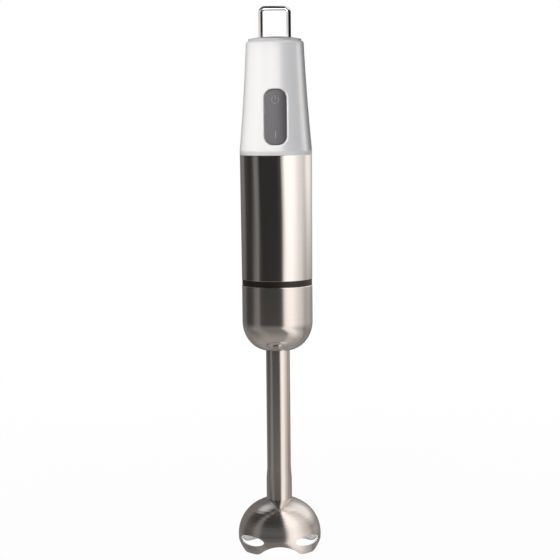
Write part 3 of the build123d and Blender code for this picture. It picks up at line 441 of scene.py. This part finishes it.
# Motor base: the black glass-filled moulding that closes the motor unit from below.
# Its edge shows as a ring between the two steels, and its spigot carries the lugs of the twist lock.
# A rubber ring seals the motor's coupling in its hole, and three screws hold it to the carrier.
black_plastic = moulding(
    "black plastic", pale=(0.014, 0.011, 0.009), deep=(0.009, 0.007, 0.006), size=3000.0, low=0.36,
    high=0.46, stain=0.06, relief=0.2)
dress(black_plastic, "motor_base")
dress(rubber, "base_seal")
dress(screw_steel, "base_screws")

# Motor: galvanised steel can with two ferrite magnets, a moulded end with the carbon brushes, and
# bronze bearings. Two screws hold it to the floor of its carrier, and a rubber band damps it.
motor_steel = moulding(
    "galvanised steel", pale=(0.56, 0.57, 0.59), deep=(0.42, 0.43, 0.45), size=900.0, low=0.30, high=0.48,
    stain=0.20, relief=0.15, metallic=1.0)
ferrite = moulding(
    "ferrite", pale=(0.105, 0.105, 0.11), deep=(0.075, 0.075, 0.08), size=5000.0, low=0.55, high=0.70,
    stain=0.08, relief=0.4)
carbon = moulding(
    "carbon", pale=(0.055, 0.055, 0.056), deep=(0.035, 0.035, 0.036), size=6000.0, low=0.50, high=0.62,
    stain=0.08, relief=0.3)
dress(inner_plastic, "motor_carrier", "motor_end_bell")
dress(motor_steel, "motor_can")
dress(ferrite, "motor_magnets")
dress(bronze, "motor_lower_bearing", "motor_upper_bearing")
dress(carbon, "motor_brushes")
dress(rubber, "motor_damper")
dress(screw_steel, "motor_screws")

# Rotor: a stack of steel sheets on the motor's shaft, wound with enamelled copper wire.
# The copper bars of the commutator feed it, and the red socket on its lower end drives the foot.
lamination = ground_metal(
    "stacked sheet", pale=(0.40, 0.40, 0.41), deep=(0.20, 0.20, 0.21), scales=(8, 8, 1800), low=0.35,
    high=0.55, stain=0.08, relief=0.6)
enamelled_wire = ground_metal(
    "enamelled wire", pale=(0.78, 0.36, 0.16), deep=(0.42, 0.15, 0.06), scales=(2600, 2600, 90), low=0.22,
    high=0.38, stain=0.06, relief=0.7)
copper_bar = ground_metal(
    "copper bar", pale=(0.80, 0.43, 0.27), deep=(0.66, 0.33, 0.20), scales=(40, 40, 5000), low=0.18,
    high=0.30, stain=0.08, relief=0.2)
dress(shaft_steel, "rotor_shaft")
dress(lamination, "rotor_core")
dress(enamelled_wire, "rotor_winding")
dress(copper_bar, "commutator")
dress(coupler_plastic, "drive_coupler")

# Motor sleeve: a seamless steel tube, widened a little towards its top and polished to a mirror.
# It is clamped between the black base below and the white trim ring above.
sleeve_low, sleeve_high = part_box("motor_housing")
sleeve_wall = 0.8 * mm
sleeve_edge = 0.12 * mm
sleeve_steps = 256
sleeve_foot = bell_high[0]
sleeve_outline = arc((sleeve_foot - sleeve_edge, sleeve_low[2] + sleeve_edge), sleeve_edge, -90, 0, 3)
sleeve_outline += arc((sleeve_high[0] - sleeve_edge, sleeve_high[2] - sleeve_edge), sleeve_edge, 0, 90, 3)
sleeve_outline += [(sleeve_high[0] - sleeve_wall, sleeve_high[2]), (sleeve_foot - sleeve_wall, sleeve_low[2])]
sleeve = lathe("polished_sleeve", sleeve_outline, sleeve_steps)
polished_steel = ground_metal(
    "polished steel", pale=(0.80, 0.79, 0.78), deep=(0.76, 0.75, 0.74), scales=(60, 60, 900), low=0.045,
    high=0.060, stain=0.02, relief=0.01)
paint(sleeve, polished_steel)
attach(sleeve, "motor_unit")
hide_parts("motor_housing")

# Trim ring: thin white ring with a lip into the sleeve below and one into the handle above.
# It is moulded with the handle's plastic and shows as a narrow bright band.
white_plastic = moulding(
    "white plastic", pale=(0.86, 0.86, 0.865), deep=(0.83, 0.83, 0.835), size=1400.0, low=0.20, high=0.25,
    stain=0.04, relief=0.03, gloss=0.75)
dress(white_plastic, "trim_ring")

# Chassis: grey moulded frame inside the handle, three screws hold it to the motor's carrier.
# Its spine carries the control board in front and the cells behind, its shelf the charge board.
dress(inner_plastic, "chassis")
dress(screw_steel, "chassis_screws")

# Battery: two lithium cells in blue shrink wrap with bare steel ends, joined by welded nickel strips.
# A moulded band round both keeps them on the chassis.
cell_low, cell_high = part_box("battery_cells")
wrap_start = 0.09 * mm
pole_height = 1.0 * mm
wrap_blue = (0.035, 0.17, 0.36)
bare_steel = (0.58, 0.58, 0.57)


def colour_ramp(tree, share, stops):
    """Colours at places along a share."""
    ramp = node(tree, "ValToRGB", {"Fac": share})
    elements = ramp.color_ramp.elements
    while len(elements) < len(stops):
        elements.new(1.0)
    for element, (place, colour) in zip(elements, stops):
        element.position = place
        element.color = colour
    return ramp


def banded(name, axis, bands, size, low, high, stain, relief):
    """A finish whose colour and metal change at places along one axis, in metres."""
    finish = moulding(name, (1.0, 1.0, 1.0), (0.86, 0.86, 0.86), size, low, high, stain, relief)
    tree = finish.node_tree
    shader = tree.nodes["Principled BSDF"]
    cloud = shader.inputs["Base Color"].links[0].from_socket
    start = bands[0][0]
    end = bands[-1][0]
    split = node(tree, "SeparateXYZ", {0: node(tree, "TexCoord").outputs["Object"]})
    share = node(tree, "MapRange", {"Value": split.outputs[axis], "From Min": start, "From Max": end})
    stops = [((where - start) / (end - start), (*colour, metal)) for where, colour, metal in bands]
    ramp = colour_ramp(tree, share.outputs[0], stops)
    ramp.color_ramp.interpolation = "CONSTANT"
    tints = {"Factor": 1.0, "A": ramp.outputs["Color"], "B": cloud}
    tone = node(tree, "Mix", tints, data_type="RGBA", blend_type="MULTIPLY")
    tree.links.new(tone.outputs["Result"], shader.inputs["Base Color"])
    tree.links.new(ramp.outputs["Alpha"], shader.inputs["Metallic"])
    return finish


cell_wrap = banded(
    "cell wrap", "Z",
    [(cell_low[2] - pole_height, bare_steel, 1.0), (cell_low[2] + wrap_start, wrap_blue, 0.0),
     (cell_high[2] - pole_height + wrap_start, bare_steel, 1.0),
     (cell_high[2] + pole_height, bare_steel, 1.0)],
    size=2600.0, low=0.28, high=0.36, stain=0.06, relief=0.1)
nickel = ground_metal(
    "nickel strip", pale=(0.70, 0.68, 0.62), deep=(0.58, 0.56, 0.51), scales=(120, 3200, 120), low=0.22,
    high=0.36, stain=0.08, relief=0.12)
dress(cell_wrap, "battery_cells")
dress(nickel, "battery_tabs")
dress(inner_plastic, "battery_strap")

# Control board: green lacquered laminate on four standoffs, with the two switches behind the rocker.
# Transistors, a coil and two capacitors stand on its back, and a small bracket bears the rocker's pins.
board_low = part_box("control_board")[0]
switch_low, switch_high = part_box("tact_switches")
part_black = (0.030, 0.030, 0.032)
part_ferrite = (0.11, 0.11, 0.115)
part_can = (0.60, 0.61, 0.63)
coil_place = 21.0 * mm
can_place = 36.0 * mm
plunger_height = 0.8 * mm
board_green = moulding(
    "board lacquer", pale=(0.030, 0.19, 0.080), deep=(0.018, 0.12, 0.050), size=700.0, low=0.22,
    high=0.34, stain=0.10, relief=0.2)
board_parts = banded(
    "board parts", "Z",
    [(board_low[2], part_black, 0.0), (board_low[2] + coil_place, part_ferrite, 0.0),
     (board_low[2] + can_place, part_can, 1.0), (board_low[2] + 2 * can_place, part_can, 1.0)],
    size=3000.0, low=0.35, high=0.48, stain=0.06, relief=0.2)
switch_parts = banded(
    "switch parts", "Y",
    [(switch_low[1] - plunger_height, part_black, 0.0), (switch_low[1] + plunger_height, part_can, 1.0),
     (switch_high[1] + plunger_height, part_can, 1.0)],
    size=3000.0, low=0.30, high=0.42, stain=0.06, relief=0.15)
dress(board_green, "control_board")
dress(board_parts, "board_components")
dress(switch_parts, "tact_switches")
dress(inner_plastic, "rocker_bracket")
dress(screw_steel, "board_screws")

# Charge board: a small board on the chassis' shelf that carries the charge socket.
# The socket is a drawn steel shell round a black tongue, and shows in the slot at the handle's back.
socket_low, socket_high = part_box("charge_socket")
socket_level = (socket_low[2] + socket_high[2]) / 2
tongue_half = 0.5 * mm
shell_steel = (0.62, 0.61, 0.58)
socket_metal = banded(
    "socket shell", "Z",
    [(socket_low[2] - tongue_half, shell_steel, 1.0), (socket_level - tongue_half, part_black, 0.0),
     (socket_level + tongue_half, shell_steel, 1.0), (socket_high[2] + tongue_half, shell_steel, 1.0)],
    size=3000.0, low=0.22, high=0.34, stain=0.06, relief=0.1)
dress(board_green, "charge_board")
dress(socket_metal, "charge_socket")

# Motor leads: stranded wire in red and black insulation, from the board down to the motor's end.
# They pass through two holes in the chassis' plate.
lead_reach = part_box("motor_leads")[1][0]
lead_red = (0.42, 0.025, 0.020)
lead_cover = banded(
    "lead cover", "X",
    [(-2 * lead_reach, part_black, 0.0), (0.0, lead_red, 0.0), (2 * lead_reach, lead_red, 0.0)],
    size=2200.0, low=0.40, high=0.50, stain=0.05, relief=0.15)
dress(lead_cover, "motor_leads")

# Handle: white shell, moulded in one with a slight taper that is drawn in at mid height.
# Its front has the rocker's opening with a rounded rim, and its back the charge socket's slot.
handle_low, handle_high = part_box("handle_shell")
key_low, key_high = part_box("rocker_button")
handle_top_radius = 22.25 * mm
handle_hollow = 0.5 * mm
handle_wall = 2.2 * mm
handle_edge = 1.6 * mm
key_width = 16.7 * mm
key_corner = 6.0 * mm
key_gap = 0.45 * mm
rim_round = 1.4 * mm
rim_step = 1.5 * mm
handle_steps = 256
key_level = (key_low[2] + key_high[2]) / 2
key_height = key_high[2] - key_low[2]


def handle_radius(height):
    """Outside radius of the handle at a height."""
    share = (height - handle_low[2]) / (handle_high[2] - handle_low[2])
    straight = handle_high[0] + (handle_top_radius - handle_high[0]) * share
    return straight - 4 * handle_hollow * share * (1 - share)


def handle_side(inset, top, count=24):
    """The handle's side from its lower edge up to a height, drawn in by a distance."""
    heights = [handle_low[2] + (top - handle_low[2]) * i / count for i in range(count + 1)]
    return [(handle_radius(z) - inset, z) for z in heights]


def frame_points(grow, count=10):
    """The rocker's rounded outline, grown by a distance, as points of x and z."""
    half_width = key_width / 2 + grow
    half_height = key_height / 2 + grow
    round_off = key_corner + grow
    points = []
    for turn, (sx, sz) in enumerate(((1, 1), (-1, 1), (-1, -1), (1, -1))):
        centre = (sx * (half_width - round_off), key_level + sz * (half_height - round_off))
        points += arc(centre, round_off, 90 * turn, 90 * turn + 90, count)
    return points


def along_sides(points, longest):
    """The points with more between them where a side is longer than it should be."""
    filled = []
    for here, there in zip(points, points[1:] + points[:1]):
        parts = max(1, round(math.dist(here, there) / longest))
        filled += [(here[0] + (there[0] - here[0]) * i / parts, here[1] + (there[1] - here[1]) * i / parts)
                   for i in range(parts)]
    return filled


def on_handle(x, z, inset):
    """The place on the handle's front, drawn in by a distance, that shows at x and z."""
    radius = handle_radius(z)
    side = math.asin(x / radius)
    return ((radius - inset) * math.sin(side), -(radius - inset) * math.cos(side), z)


def wire(name, points, thickness, closed=False):
    """A round wire through points, with flat ends or joined up."""
    piece = trace(name, points)
    if closed:
        bpy.ops.mesh.edge_face_add()
        bpy.ops.mesh.delete(type="ONLY_FACE")
    bpy.ops.object.mode_set(mode="OBJECT")
    bpy.ops.object.convert(target="CURVE")
    piece.data.bevel_depth = thickness / 2
    piece.data.bevel_resolution = 6
    piece.data.use_fill_caps = not closed
    bpy.ops.object.convert(target="MESH")
    bpy.ops.object.mode_set(mode="EDIT")
    close_mesh()
    smooth(piece)
    return piece


def join_to(piece, others):
    """Joins other forms to a piece."""
    bpy.ops.object.select_all(action="DESELECT")
    for part in (*others, piece):
        part.select_set(True)
    bpy.context.view_layer.objects.active = piece
    bpy.ops.object.join()


handle_outline = handle_side(0, handle_high[2] - handle_edge)
handle_outline += arc((handle_top_radius - handle_edge, handle_high[2] - handle_edge), handle_edge, 0, 90, 8)
handle_outline += handle_side(handle_wall, handle_high[2], 12)[::-1]
handle = lathe("handle_case", handle_outline, handle_steps)
cut(handle, bar("opening", frame_points(key_gap + rim_round), -2 * handle_high[0], 0))
socket_gap = 0.25 * mm
socket_round = (socket_high[2] - socket_low[2]) / 2 + socket_gap
socket_reach = socket_high[0] + socket_gap - socket_round
socket_outline = arc((socket_reach, socket_level), socket_round, -90, 90, 12)
socket_outline += arc((-socket_reach, socket_level), socket_round, 90, 270, 12)
cut(handle, bar("slot", socket_outline, 0, 2 * handle_high[0]))
rim_path = along_sides(frame_points(key_gap + rim_round), rim_step)
rim = wire("rim", [on_handle(x, z, rim_round) for x, z in rim_path], 2 * rim_round, closed=True)
smooth(handle)
join_to(handle, [rim])
paint(handle, white_plastic)
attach(handle, "motor_unit")
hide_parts("handle_shell")

# Rocker: dark grey soft-touch key that follows the handle's curve, pressed at its upper or lower end.
# It carries the usual signs for standby and on, as fine raised lines.
key_inset = 0.5 * mm
key_edge = 0.5 * mm
key_thickness = 5.8 * mm
key_rear = key_inset + key_thickness - handle_radius(key_level)
key_core = 0.5 * handle_top_radius
pin_thickness = 2.4 * mm
pin_back = key_rear + 2.0 * mm
web_half = key_width / 2 - key_gap
post_thickness = 3.0 * mm
post_spread = 28.0 * mm
post_length = 0.5 * mm
key_form = handle_side(key_inset, handle_high[2]) + [(key_core, handle_high[2]), (key_core, handle_low[2])]
key = lathe("rocker_key", key_form, handle_steps)
cut(key, bar("key_outline", frame_points(0), -2 * handle_high[0], key_rear), "INTERSECT")
soften = key.modifiers.new("soften", "BEVEL")
soften.width = key_edge
soften.segments = 4
soften.limit_method = "ANGLE"
soften.angle_limit = math.radians(50)
bpy.ops.object.modifier_apply(modifier=soften.name)
web_outline = [
    (-web_half, key_level - pin_thickness / 2), (web_half, key_level - pin_thickness / 2),
    (web_half, key_level + pin_thickness / 2), (-web_half, key_level + pin_thickness / 2)]
pin_end = key_high[0]
key_parts = [
    bar("web", web_outline, key_rear - post_length, pin_back),
    wire("pin", [(-pin_end, pin_back, key_level), (pin_end, pin_back, key_level)], pin_thickness)]
for height in (key_level - post_spread / 2, key_level + post_spread / 2):
    ends = [(0, key_rear - post_length, height), (0, key_rear + post_length, height)]
    key_parts.append(wire("post", ends, post_thickness))
join_to(key, key_parts)
smooth(key)
soft_grey = moulding(
    "soft touch grey", pale=(0.098, 0.097, 0.107), deep=(0.088, 0.087, 0.096), size=2600.0, low=0.35,
    high=0.41, stain=0.06, relief=0.25, gloss=0.36)
paint(key, soft_grey)
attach(key, "button")
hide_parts("rocker_button")

sign_line = 0.55 * mm
sign_height = 13.1 * mm
standby_radius = 2.8 * mm
standby_gap = 42.0
standby_foot = 0.3 * mm
standby_top = 3.4 * mm
on_half = 2.8 * mm
sign_grey = moulding(
    "sign grey", pale=(0.30, 0.30, 0.31), deep=(0.27, 0.27, 0.28), size=2600.0, low=0.40, high=0.48,
    stain=0.05, relief=0.1)
standby_middle = key_level + sign_height
on_middle = key_level - sign_height
signs = {
    "standby_ring": arc((0, standby_middle), standby_radius, 90 + standby_gap, 450 - standby_gap, 40),
    "standby_bar": [(0, standby_middle + standby_foot), (0, standby_middle + standby_top)],
    "on_bar": [(0, on_middle - on_half), (0, on_middle + on_half)],
}
for name, points in signs.items():
    sign = wire(name, [on_handle(x, z, key_inset) for x, z in points], sign_line)
    paint(sign, sign_grey)
    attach(sign, "button")

# Top cap: light grey moulded lid, domed, that plugs the handle and holds the loop's feet.
# Two slots let the loop fold back, a keeper under it closes the seats, and two screws draw it down.
light_grey = moulding(
    "light grey plastic", pale=(0.57, 0.57, 0.58), deep=(0.55, 0.55, 0.56), size=1800.0, low=0.30,
    high=0.38, stain=0.05, relief=0.1)
dress(light_grey, "top_cap")
dress(inner_plastic, "loop_keeper")
dress(screw_steel, "cap_screws")

# Hanging loop: chromed steel wire, bent round at its top and turned out into two feet.
# The feet sit in round seats between the cap and its keeper, and hold the loop where it is put.
loop_low, loop_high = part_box("hanging_loop")
wire_thickness = 3.4 * mm
loop_half = 10.85 * mm
loop_corner = 3.4 * mm
foot_corner = 1.8 * mm
foot_end = loop_high[0]
pivot_level = loop_low[2] + wire_thickness / 2
loop_top = loop_high[2] - wire_thickness / 2
right_side = [(foot_end, pivot_level)]
right_side += arc((loop_half + foot_corner, pivot_level + foot_corner), foot_corner, -90, -180, 8)
right_side += arc((loop_half - loop_corner, loop_top - loop_corner), loop_corner, 0, 90, 12)
loop_path = right_side + [(-x, z) for x, z in reversed(right_side)]
loop = wire("wire_loop", [(x, 0, z) for x, z in loop_path], wire_thickness)
chrome = ground_metal(
    "chrome", pale=(0.80, 0.81, 0.83), deep=(0.76, 0.77, 0.79), scales=(1200, 1200, 1200), low=0.06,
    high=0.09, stain=0.03, relief=0.02)
paint(loop, chrome)
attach(loop, "loop")
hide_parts("hanging_loop")

# Floor: a pale matt sheet that runs out into white, so that the blender's shadow fades away on it.
# It is clear from below, so that the guard's inside can be looked at, and glossy rays pass it by.
floor_size = 40.0
floor_fade = 0.9
floor_shade = 0.05
floor_grey = (0.9, 0.9, 0.9, 1)
bpy.ops.object.select_all(action="DESELECT")
bpy.ops.mesh.primitive_plane_add(size=floor_size)
floor = bpy.context.object
floor.name = "studio_floor"


def between(tree, value, low, high, start=0.0, end=1.0):
    """A number that goes from start to end while a value goes from low to high."""
    ends = {"From Min": low, "From Max": high, "To Min": start, "To Max": end}
    return node(tree, "MapRange", {"Value": value, **ends}).outputs[0]


def reach(tree):
    """How far a point lies from the middle of its object."""
    place = node(tree, "TexCoord").outputs["Object"]
    return node(tree, "VectorMath", {0: place}, operation="LENGTH").outputs["Value"]


def shader_mix(tree, factor, one, other):
    """One shader that goes over into another."""
    return node(tree, "MixShader", {"Fac": factor, 1: one.outputs[0], 2: other.outputs[0]})


floor_paint = bpy.data.materials.new("floor paint")
floor_paint.use_nodes = True
floor_tree = floor_paint.node_tree
floor_tree.nodes.clear()
floor_share = between(floor_tree, reach(floor_tree), 0.0, floor_fade, floor_shade, 0.0)
floor_glow = node(floor_tree, "Emission")
floor_matte = node(floor_tree, "BsdfDiffuse", {"Color": floor_grey})
floor_clear = node(floor_tree, "BsdfTransparent")
floor_under = node(floor_tree, "NewGeometry").outputs["Backfacing"]
floor_above = shader_mix(floor_tree, floor_share, floor_glow, floor_matte)
floor_all = shader_mix(floor_tree, floor_under, floor_above, floor_clear)
node(floor_tree, "OutputMaterial", {0: floor_all.outputs[0]})
floor.data.materials.append(floor_paint)
floor.visible_glossy = False
floor.visible_diffuse = False

# Studio screens: a round of far cards, dark and bright by turns, that only glossy rays see.
# They give the steel its bands: one set for what it throws back upwards, one for level, one for down.
# The bands are angles from the camera, in degrees with right positive, and levels.
screen_radius = 2.2
screen_middle = 0.2
screen_strength = 1.65
screen_warmth = (1.0, 0.93, 0.88)
upper_bands = [
    (-180, 0.08), (-150, 0.115), (-130, 0.125), (-117, 0.04), (-94, 0.020), (-82, 0.04), (-73, 0.125),
    (-65, 0.125), (-55, 0.020), (0, 0.020), (12, 0.045), (19, 0.42), (26, 0.80), (40, 0.88), (58, 0.80),
    (73, 0.61), (99, 0.45), (112, 0.62), (121, 0.69), (136, 0.60), (155, 0.35), (180, 0.10)]
middle_bands = [
    (-180, 0.10), (-160, 0.113), (-128, 0.095), (-115, 0.027), (-98, 0.021), (-87, 0.04), (-75, 0.115),
    (-63, 0.128), (-56, 0.030), (-40, 0.021), (0, 0.024), (11, 0.034), (16, 0.10), (23, 0.58), (29, 0.74),
    (37, 0.80), (50, 0.80), (62, 0.68), (72, 0.58), (88, 0.47), (97, 0.345), (107, 0.28), (119, 0.33),
    (134, 0.255), (155, 0.20), (180, 0.10)]
lower_bands = [
    (-180, 0.12), (-150, 0.15), (-130, 0.15), (-117, 0.115), (-96, 0.115), (-78, 0.175), (-60, 0.18),
    (-48, 0.125), (-30, 0.12), (6, 0.125), (16, 0.16), (22, 0.46), (29, 0.68), (50, 0.72), (62, 0.54),
    (76, 0.37), (92, 0.29), (104, 0.16), (130, 0.19), (150, 0.15), (180, 0.12)]
# Heights as shares of the sphere: where one set goes over into the next, and by how much a set is turned
lower_to_middle = (0.34, 0.44)
middle_to_upper = (0.448, 0.50)
upper_shifts = [(0.445, 0.505, -9, 0)]
lower_shifts = [(0.345, 0.395, 5, 0), (0.20, 0.33, -26, 0)]
# What lies under the screens: height, level, and how far it covers them
ground_stops = [(0.0, 0.26, 0.8), (0.10, 0.24, 0.8), (0.26, 0.2, 0.0)]


def angle_share(tree):
    """Nodes that say where a point lies round the axis, the camera's side at one half, and how high."""
    split = node(tree, "SeparateXYZ", {0: node(tree, "TexCoord").outputs["Object"]}).outputs
    front = node(tree, "Math", {0: split["Y"], 1: -1.0}, operation="MULTIPLY")
    angle = node(tree, "Math", {0: split["X"], 1: front.outputs[0]}, operation="ARCTAN2")
    return between(tree, angle.outputs[0], -math.pi, math.pi), split["Z"]


def shifted(tree, share, rise, shifts):
    """A share moved by numbers of degrees that go over into others between two heights."""
    for low, high, start, end in shifts:
        turn = between(tree, rise, low, high, start / 360, end / 360)
        share = node(tree, "Math", {0: share, 1: turn}, operation="ADD").outputs[0]
    return share


def warm(level, cover=1.0):
    """The screens' slightly warm white at a level, and how far it covers."""
    return (*(level * tint for tint in screen_warmth), cover)


def round_bands(tree, share, bands):
    """The colour that a set of bands gives at a share of the way round."""
    stops = [(angle / 360 + 0.5, warm(level)) for angle, level in bands]
    return colour_ramp(tree, share, stops).outputs["Color"]


def blend(tree, factor, one, other):
    """One colour that goes over into another."""
    return node(tree, "Mix", {"Factor": factor, "A": one, "B": other}, data_type="RGBA").outputs["Result"]


def new_screen(name, strength):
    """Makes the form just added a screen that only glossy rays see, and gives its shader tree and light."""
    screen = bpy.context.object
    screen.name = name
    light_paint = bpy.data.materials.new(name)
    light_paint.use_nodes = True
    tree = light_paint.node_tree
    tree.nodes.clear()
    glow = node(tree, "Emission", {"Strength": strength})
    screen.data.materials.append(light_paint)
    screen.visible_camera = False
    screen.visible_diffuse = False
    screen.visible_transmission = False
    screen.visible_shadow = False
    return tree, glow


bpy.ops.object.select_all(action="DESELECT")
bpy.ops.mesh.primitive_uv_sphere_add(
    segments=96, ring_count=48, radius=screen_radius, location=(0, 0, screen_middle))
screen_tree, screen_glow = new_screen("studio_screen", screen_strength)
screen_share, screen_height = angle_share(screen_tree)
screen_rise = between(screen_tree, screen_height, -screen_radius, screen_radius)
upper_share = shifted(screen_tree, screen_share, screen_rise, upper_shifts)
lower_share = shifted(screen_tree, screen_share, screen_rise, lower_shifts)
upper_light = round_bands(screen_tree, upper_share, upper_bands)
middle_light = round_bands(screen_tree, screen_share, middle_bands)
lower_light = round_bands(screen_tree, lower_share, lower_bands)
lower_end = between(screen_tree, screen_rise, *lower_to_middle)
upper_start = between(screen_tree, screen_rise, *middle_to_upper)
screen_low = blend(screen_tree, lower_end, lower_light, middle_light)
screen_high = blend(screen_tree, upper_start, screen_low, upper_light)
ground = colour_ramp(
    screen_tree, screen_rise, [(rise, warm(level, cover)) for rise, level, cover in ground_stops])
screen_all = blend(screen_tree, ground.outputs["Alpha"], screen_high, ground.outputs["Color"])
screen_tree.links.new(screen_all, screen_glow.inputs["Color"])
node(screen_tree, "OutputMaterial", {0: screen_glow.outputs[0]})

# Light rings: gradient cards bent round the handle, the loop and the guard, seen from inside by glossy rays.
# They fade out at their ends, and a flat one keeps the light of the handle's ring from the guard below.
handle_bands = [
    (-180, 0.01), (-152, 0.10), (-127, 0.45), (-102, 0.85), (-61, 0.95), (12, 0.95), (24.6, 0.30),
    (34.8, 0.004), (81.7, 0.004), (96, 0.45), (106, 0.95), (118, 0.45), (130, 0.004), (180, 0.004)]
wire_bands = [
    (-180, 0.15), (-160, 0.35), (-140, 0.80), (-110, 0.90), (-30, 0.85), (-12, 0.45), (0, 0.02), (150, 0.01),
    (180, 0.10)]
guard_bands = [
    (-180, 0.11), (-118, 0.13), (-98, 0.12), (-88, 0.070), (-73, 0.066), (-63, 0.09), (-56, 0.145),
    (-47, 0.15), (-39, 0.075), (-29, 0.066), (2, 0.068), (10, 0.085), (14, 0.26), (22, 0.72), (34, 0.78),
    (47, 0.62), (58, 0.45), (70, 0.36), (80, 0.22), (96, 0.25), (120, 0.18), (180, 0.11)]
handle_ring_radius = 77 * mm
ring_radius = 60 * mm


def ring_angle(angle, core, radius):
    """Where what a round core throws back at an angle meets a ring, in degrees from the camera."""
    turn = math.radians(angle)
    start = core * math.cos(turn / 2)
    way = math.sqrt(radius ** 2 - (core * math.sin(turn / 2)) ** 2) - start
    across = core * math.sin(turn / 2) + way * math.sin(turn)
    return math.degrees(math.atan2(across, start + way * math.cos(turn)))


def fade_out(tree, glow, share):
    """Ends a screen's shader: its light, clear where a share is one."""
    screen_light = shader_mix(tree, share, glow, node(tree, "BsdfTransparent"))
    node(tree, "OutputMaterial", {0: screen_light.outputs[0]})


def light_ring(name, radius, low, high, foot, top, strength, bands, core=0.0, taper=1.0):
    """A ring that lights the core inside it, between two heights, and fades out over its foot and top."""
    half = (high - low) / 2
    bpy.ops.object.select_all(action="DESELECT")
    bpy.ops.mesh.primitive_cone_add(
        vertices=128, radius1=radius, radius2=radius * taper, depth=2 * half, end_fill_type="NOTHING",
        location=(0, 0, low + half))
    tree, glow = new_screen(name, strength)
    share, height = angle_share(tree)
    places = [(ring_angle(angle, core, radius), level) for angle, level in bands]
    tree.links.new(round_bands(tree, share, places), glow.inputs["Color"])
    outside = node(tree, "NewGeometry").outputs["Backfacing"]
    see_through = between(tree, outside, 0.0, 1.0, 1.0, 0.0)
    foot_fade = between(tree, height, -half, foot - half, 1.0, 0.0)
    top_fade = between(tree, height, half - top, half)
    for fade in (foot_fade, top_fade):
        see_through = node(tree, "Math", {0: see_through, 1: fade}, operation="MAXIMUM").outputs[0]
    fade_out(tree, glow, see_through)


light_ring(
    "handle_ring", handle_ring_radius, low=handle_low[2] + 0.3 * mm, high=handle_high[2] + 10 * mm,
    foot=1.5 * mm, top=4 * mm, strength=4.5, bands=handle_bands, core=28 * mm,
    taper=handle_top_radius / handle_high[0])
light_ring(
    "ring_floor", handle_ring_radius, low=handle_low[2] - 2 * mm, high=handle_low[2] - 0.5 * mm,
    foot=0.05 * mm, top=0.05 * mm, strength=screen_strength, bands=upper_bands, taper=0.45)
light_ring(
    "wire_ring", ring_radius, low=400.5 * mm, high=450 * mm, foot=1 * mm, top=12 * mm, strength=1.0,
    bands=wire_bands)
light_ring(
    "guard_ring", ring_radius, low=-2 * mm, high=51 * mm, foot=25 * mm, top=24 * mm,
    strength=screen_strength, bands=guard_bands)

# Soft cards: two up behind the blender, left and right, for the sheen on the guard's dome, and a small one
# on the floor that lights the guard from inside. Their glow fades from a core towards their edges.
card_distance = 1.9
card_core = 0.15


def around(angle, rise, distance, level=0.0):
    """The place at an angle from the camera and a rise, in degrees, and the turn that faces the axis."""
    across = math.radians(angle)
    up = math.radians(rise)
    flat = distance * math.cos(up)
    place = (flat * math.sin(across), -flat * math.cos(across), level + distance * math.sin(up))
    return place, (math.pi / 2 - up, 0, across)


def soft_card(name, place, turn, width, strength):
    """A square card whose glow fades towards its edges, that only glossy rays see."""
    bpy.ops.object.select_all(action="DESELECT")
    bpy.ops.mesh.primitive_plane_add(size=width, location=place, rotation=turn)
    tree, glow = new_screen(name, strength)
    fade_out(tree, glow, between(tree, reach(tree), card_core * width, 0.5 * width))
    return bpy.context.object


soft_card("left_card", *around(-131, 57, card_distance), width=1.3, strength=0.62)
soft_card("right_card", *around(134, 38, card_distance), width=1.5, strength=1.05)
floor_card = soft_card(
    "floor_card", (0, 0, 0.05 * mm), (0, 0, 0), width=1.9 * guard_radius, strength=2.2)
floor_card.visible_diffuse = True


# Lamps: soft area lights that face the handle, from the left, the front, the back and the right.
# Glossy rays don't see them, so the metal shows only the screens.
def soft_light(name, angle, rise, distance, width, height, power):
    """An area light at an angle from the camera and a rise, in degrees, that faces the handle."""
    place, turn = around(angle, rise, distance, handle_low[2])
    bpy.ops.object.light_add(type="AREA", location=place)
    lamp = bpy.context.object
    lamp.name = name
    lamp.data.shape = "RECTANGLE"
    lamp.data.size = width
    lamp.data.size_y = height
    lamp.data.energy = power
    lamp.rotation_euler = turn
    lamp.visible_glossy = False
    return lamp


soft_light("key_light", angle=-68, rise=12, distance=1.5, width=0.35, height=1.2, power=4.8)
soft_light("front_light", angle=-17, rise=20, distance=1.8, width=0.6, height=0.8, power=20.4)
soft_light("back_light", angle=180, rise=10, distance=1.8, width=1.0, height=1.0, power=21.0)
fill_light = soft_light("fill_light", angle=78, rise=15, distance=1.8, width=0.5, height=0.8, power=8.1)
fill_light.data.color = (0.95, 0.94, 1.0)

# World: white for the camera and for what metal or clear plastic shows past everything else,
# and a faint even light on all surfaces.
world_level = 0.08
world_white = (1, 1, 1, 1)
world = bpy.context.scene.world or bpy.data.worlds.new("studio")
bpy.context.scene.world = world
world.use_nodes = True
world_tree = world.node_tree
world_tree.nodes.clear()
world_rays = node(world_tree, "LightPath").outputs
world_shown = node(
    world_tree, "Math", {0: world_rays["Is Camera Ray"], 1: world_rays["Is Glossy Ray"]}, operation="ADD")
world_seen = node(
    world_tree, "Math", {0: world_shown.outputs[0], 1: world_rays["Is Transmission Ray"]}, operation="ADD",
    use_clamp=True)
world_dim = node(world_tree, "Background", {"Color": world_white, "Strength": world_level})
world_bright = node(world_tree, "Background", {"Color": world_white})
world_mix = shader_mix(world_tree, world_seen.outputs[0], world_dim, world_bright)
node(world_tree, "OutputWorld", {0: world_mix.outputs[0]})
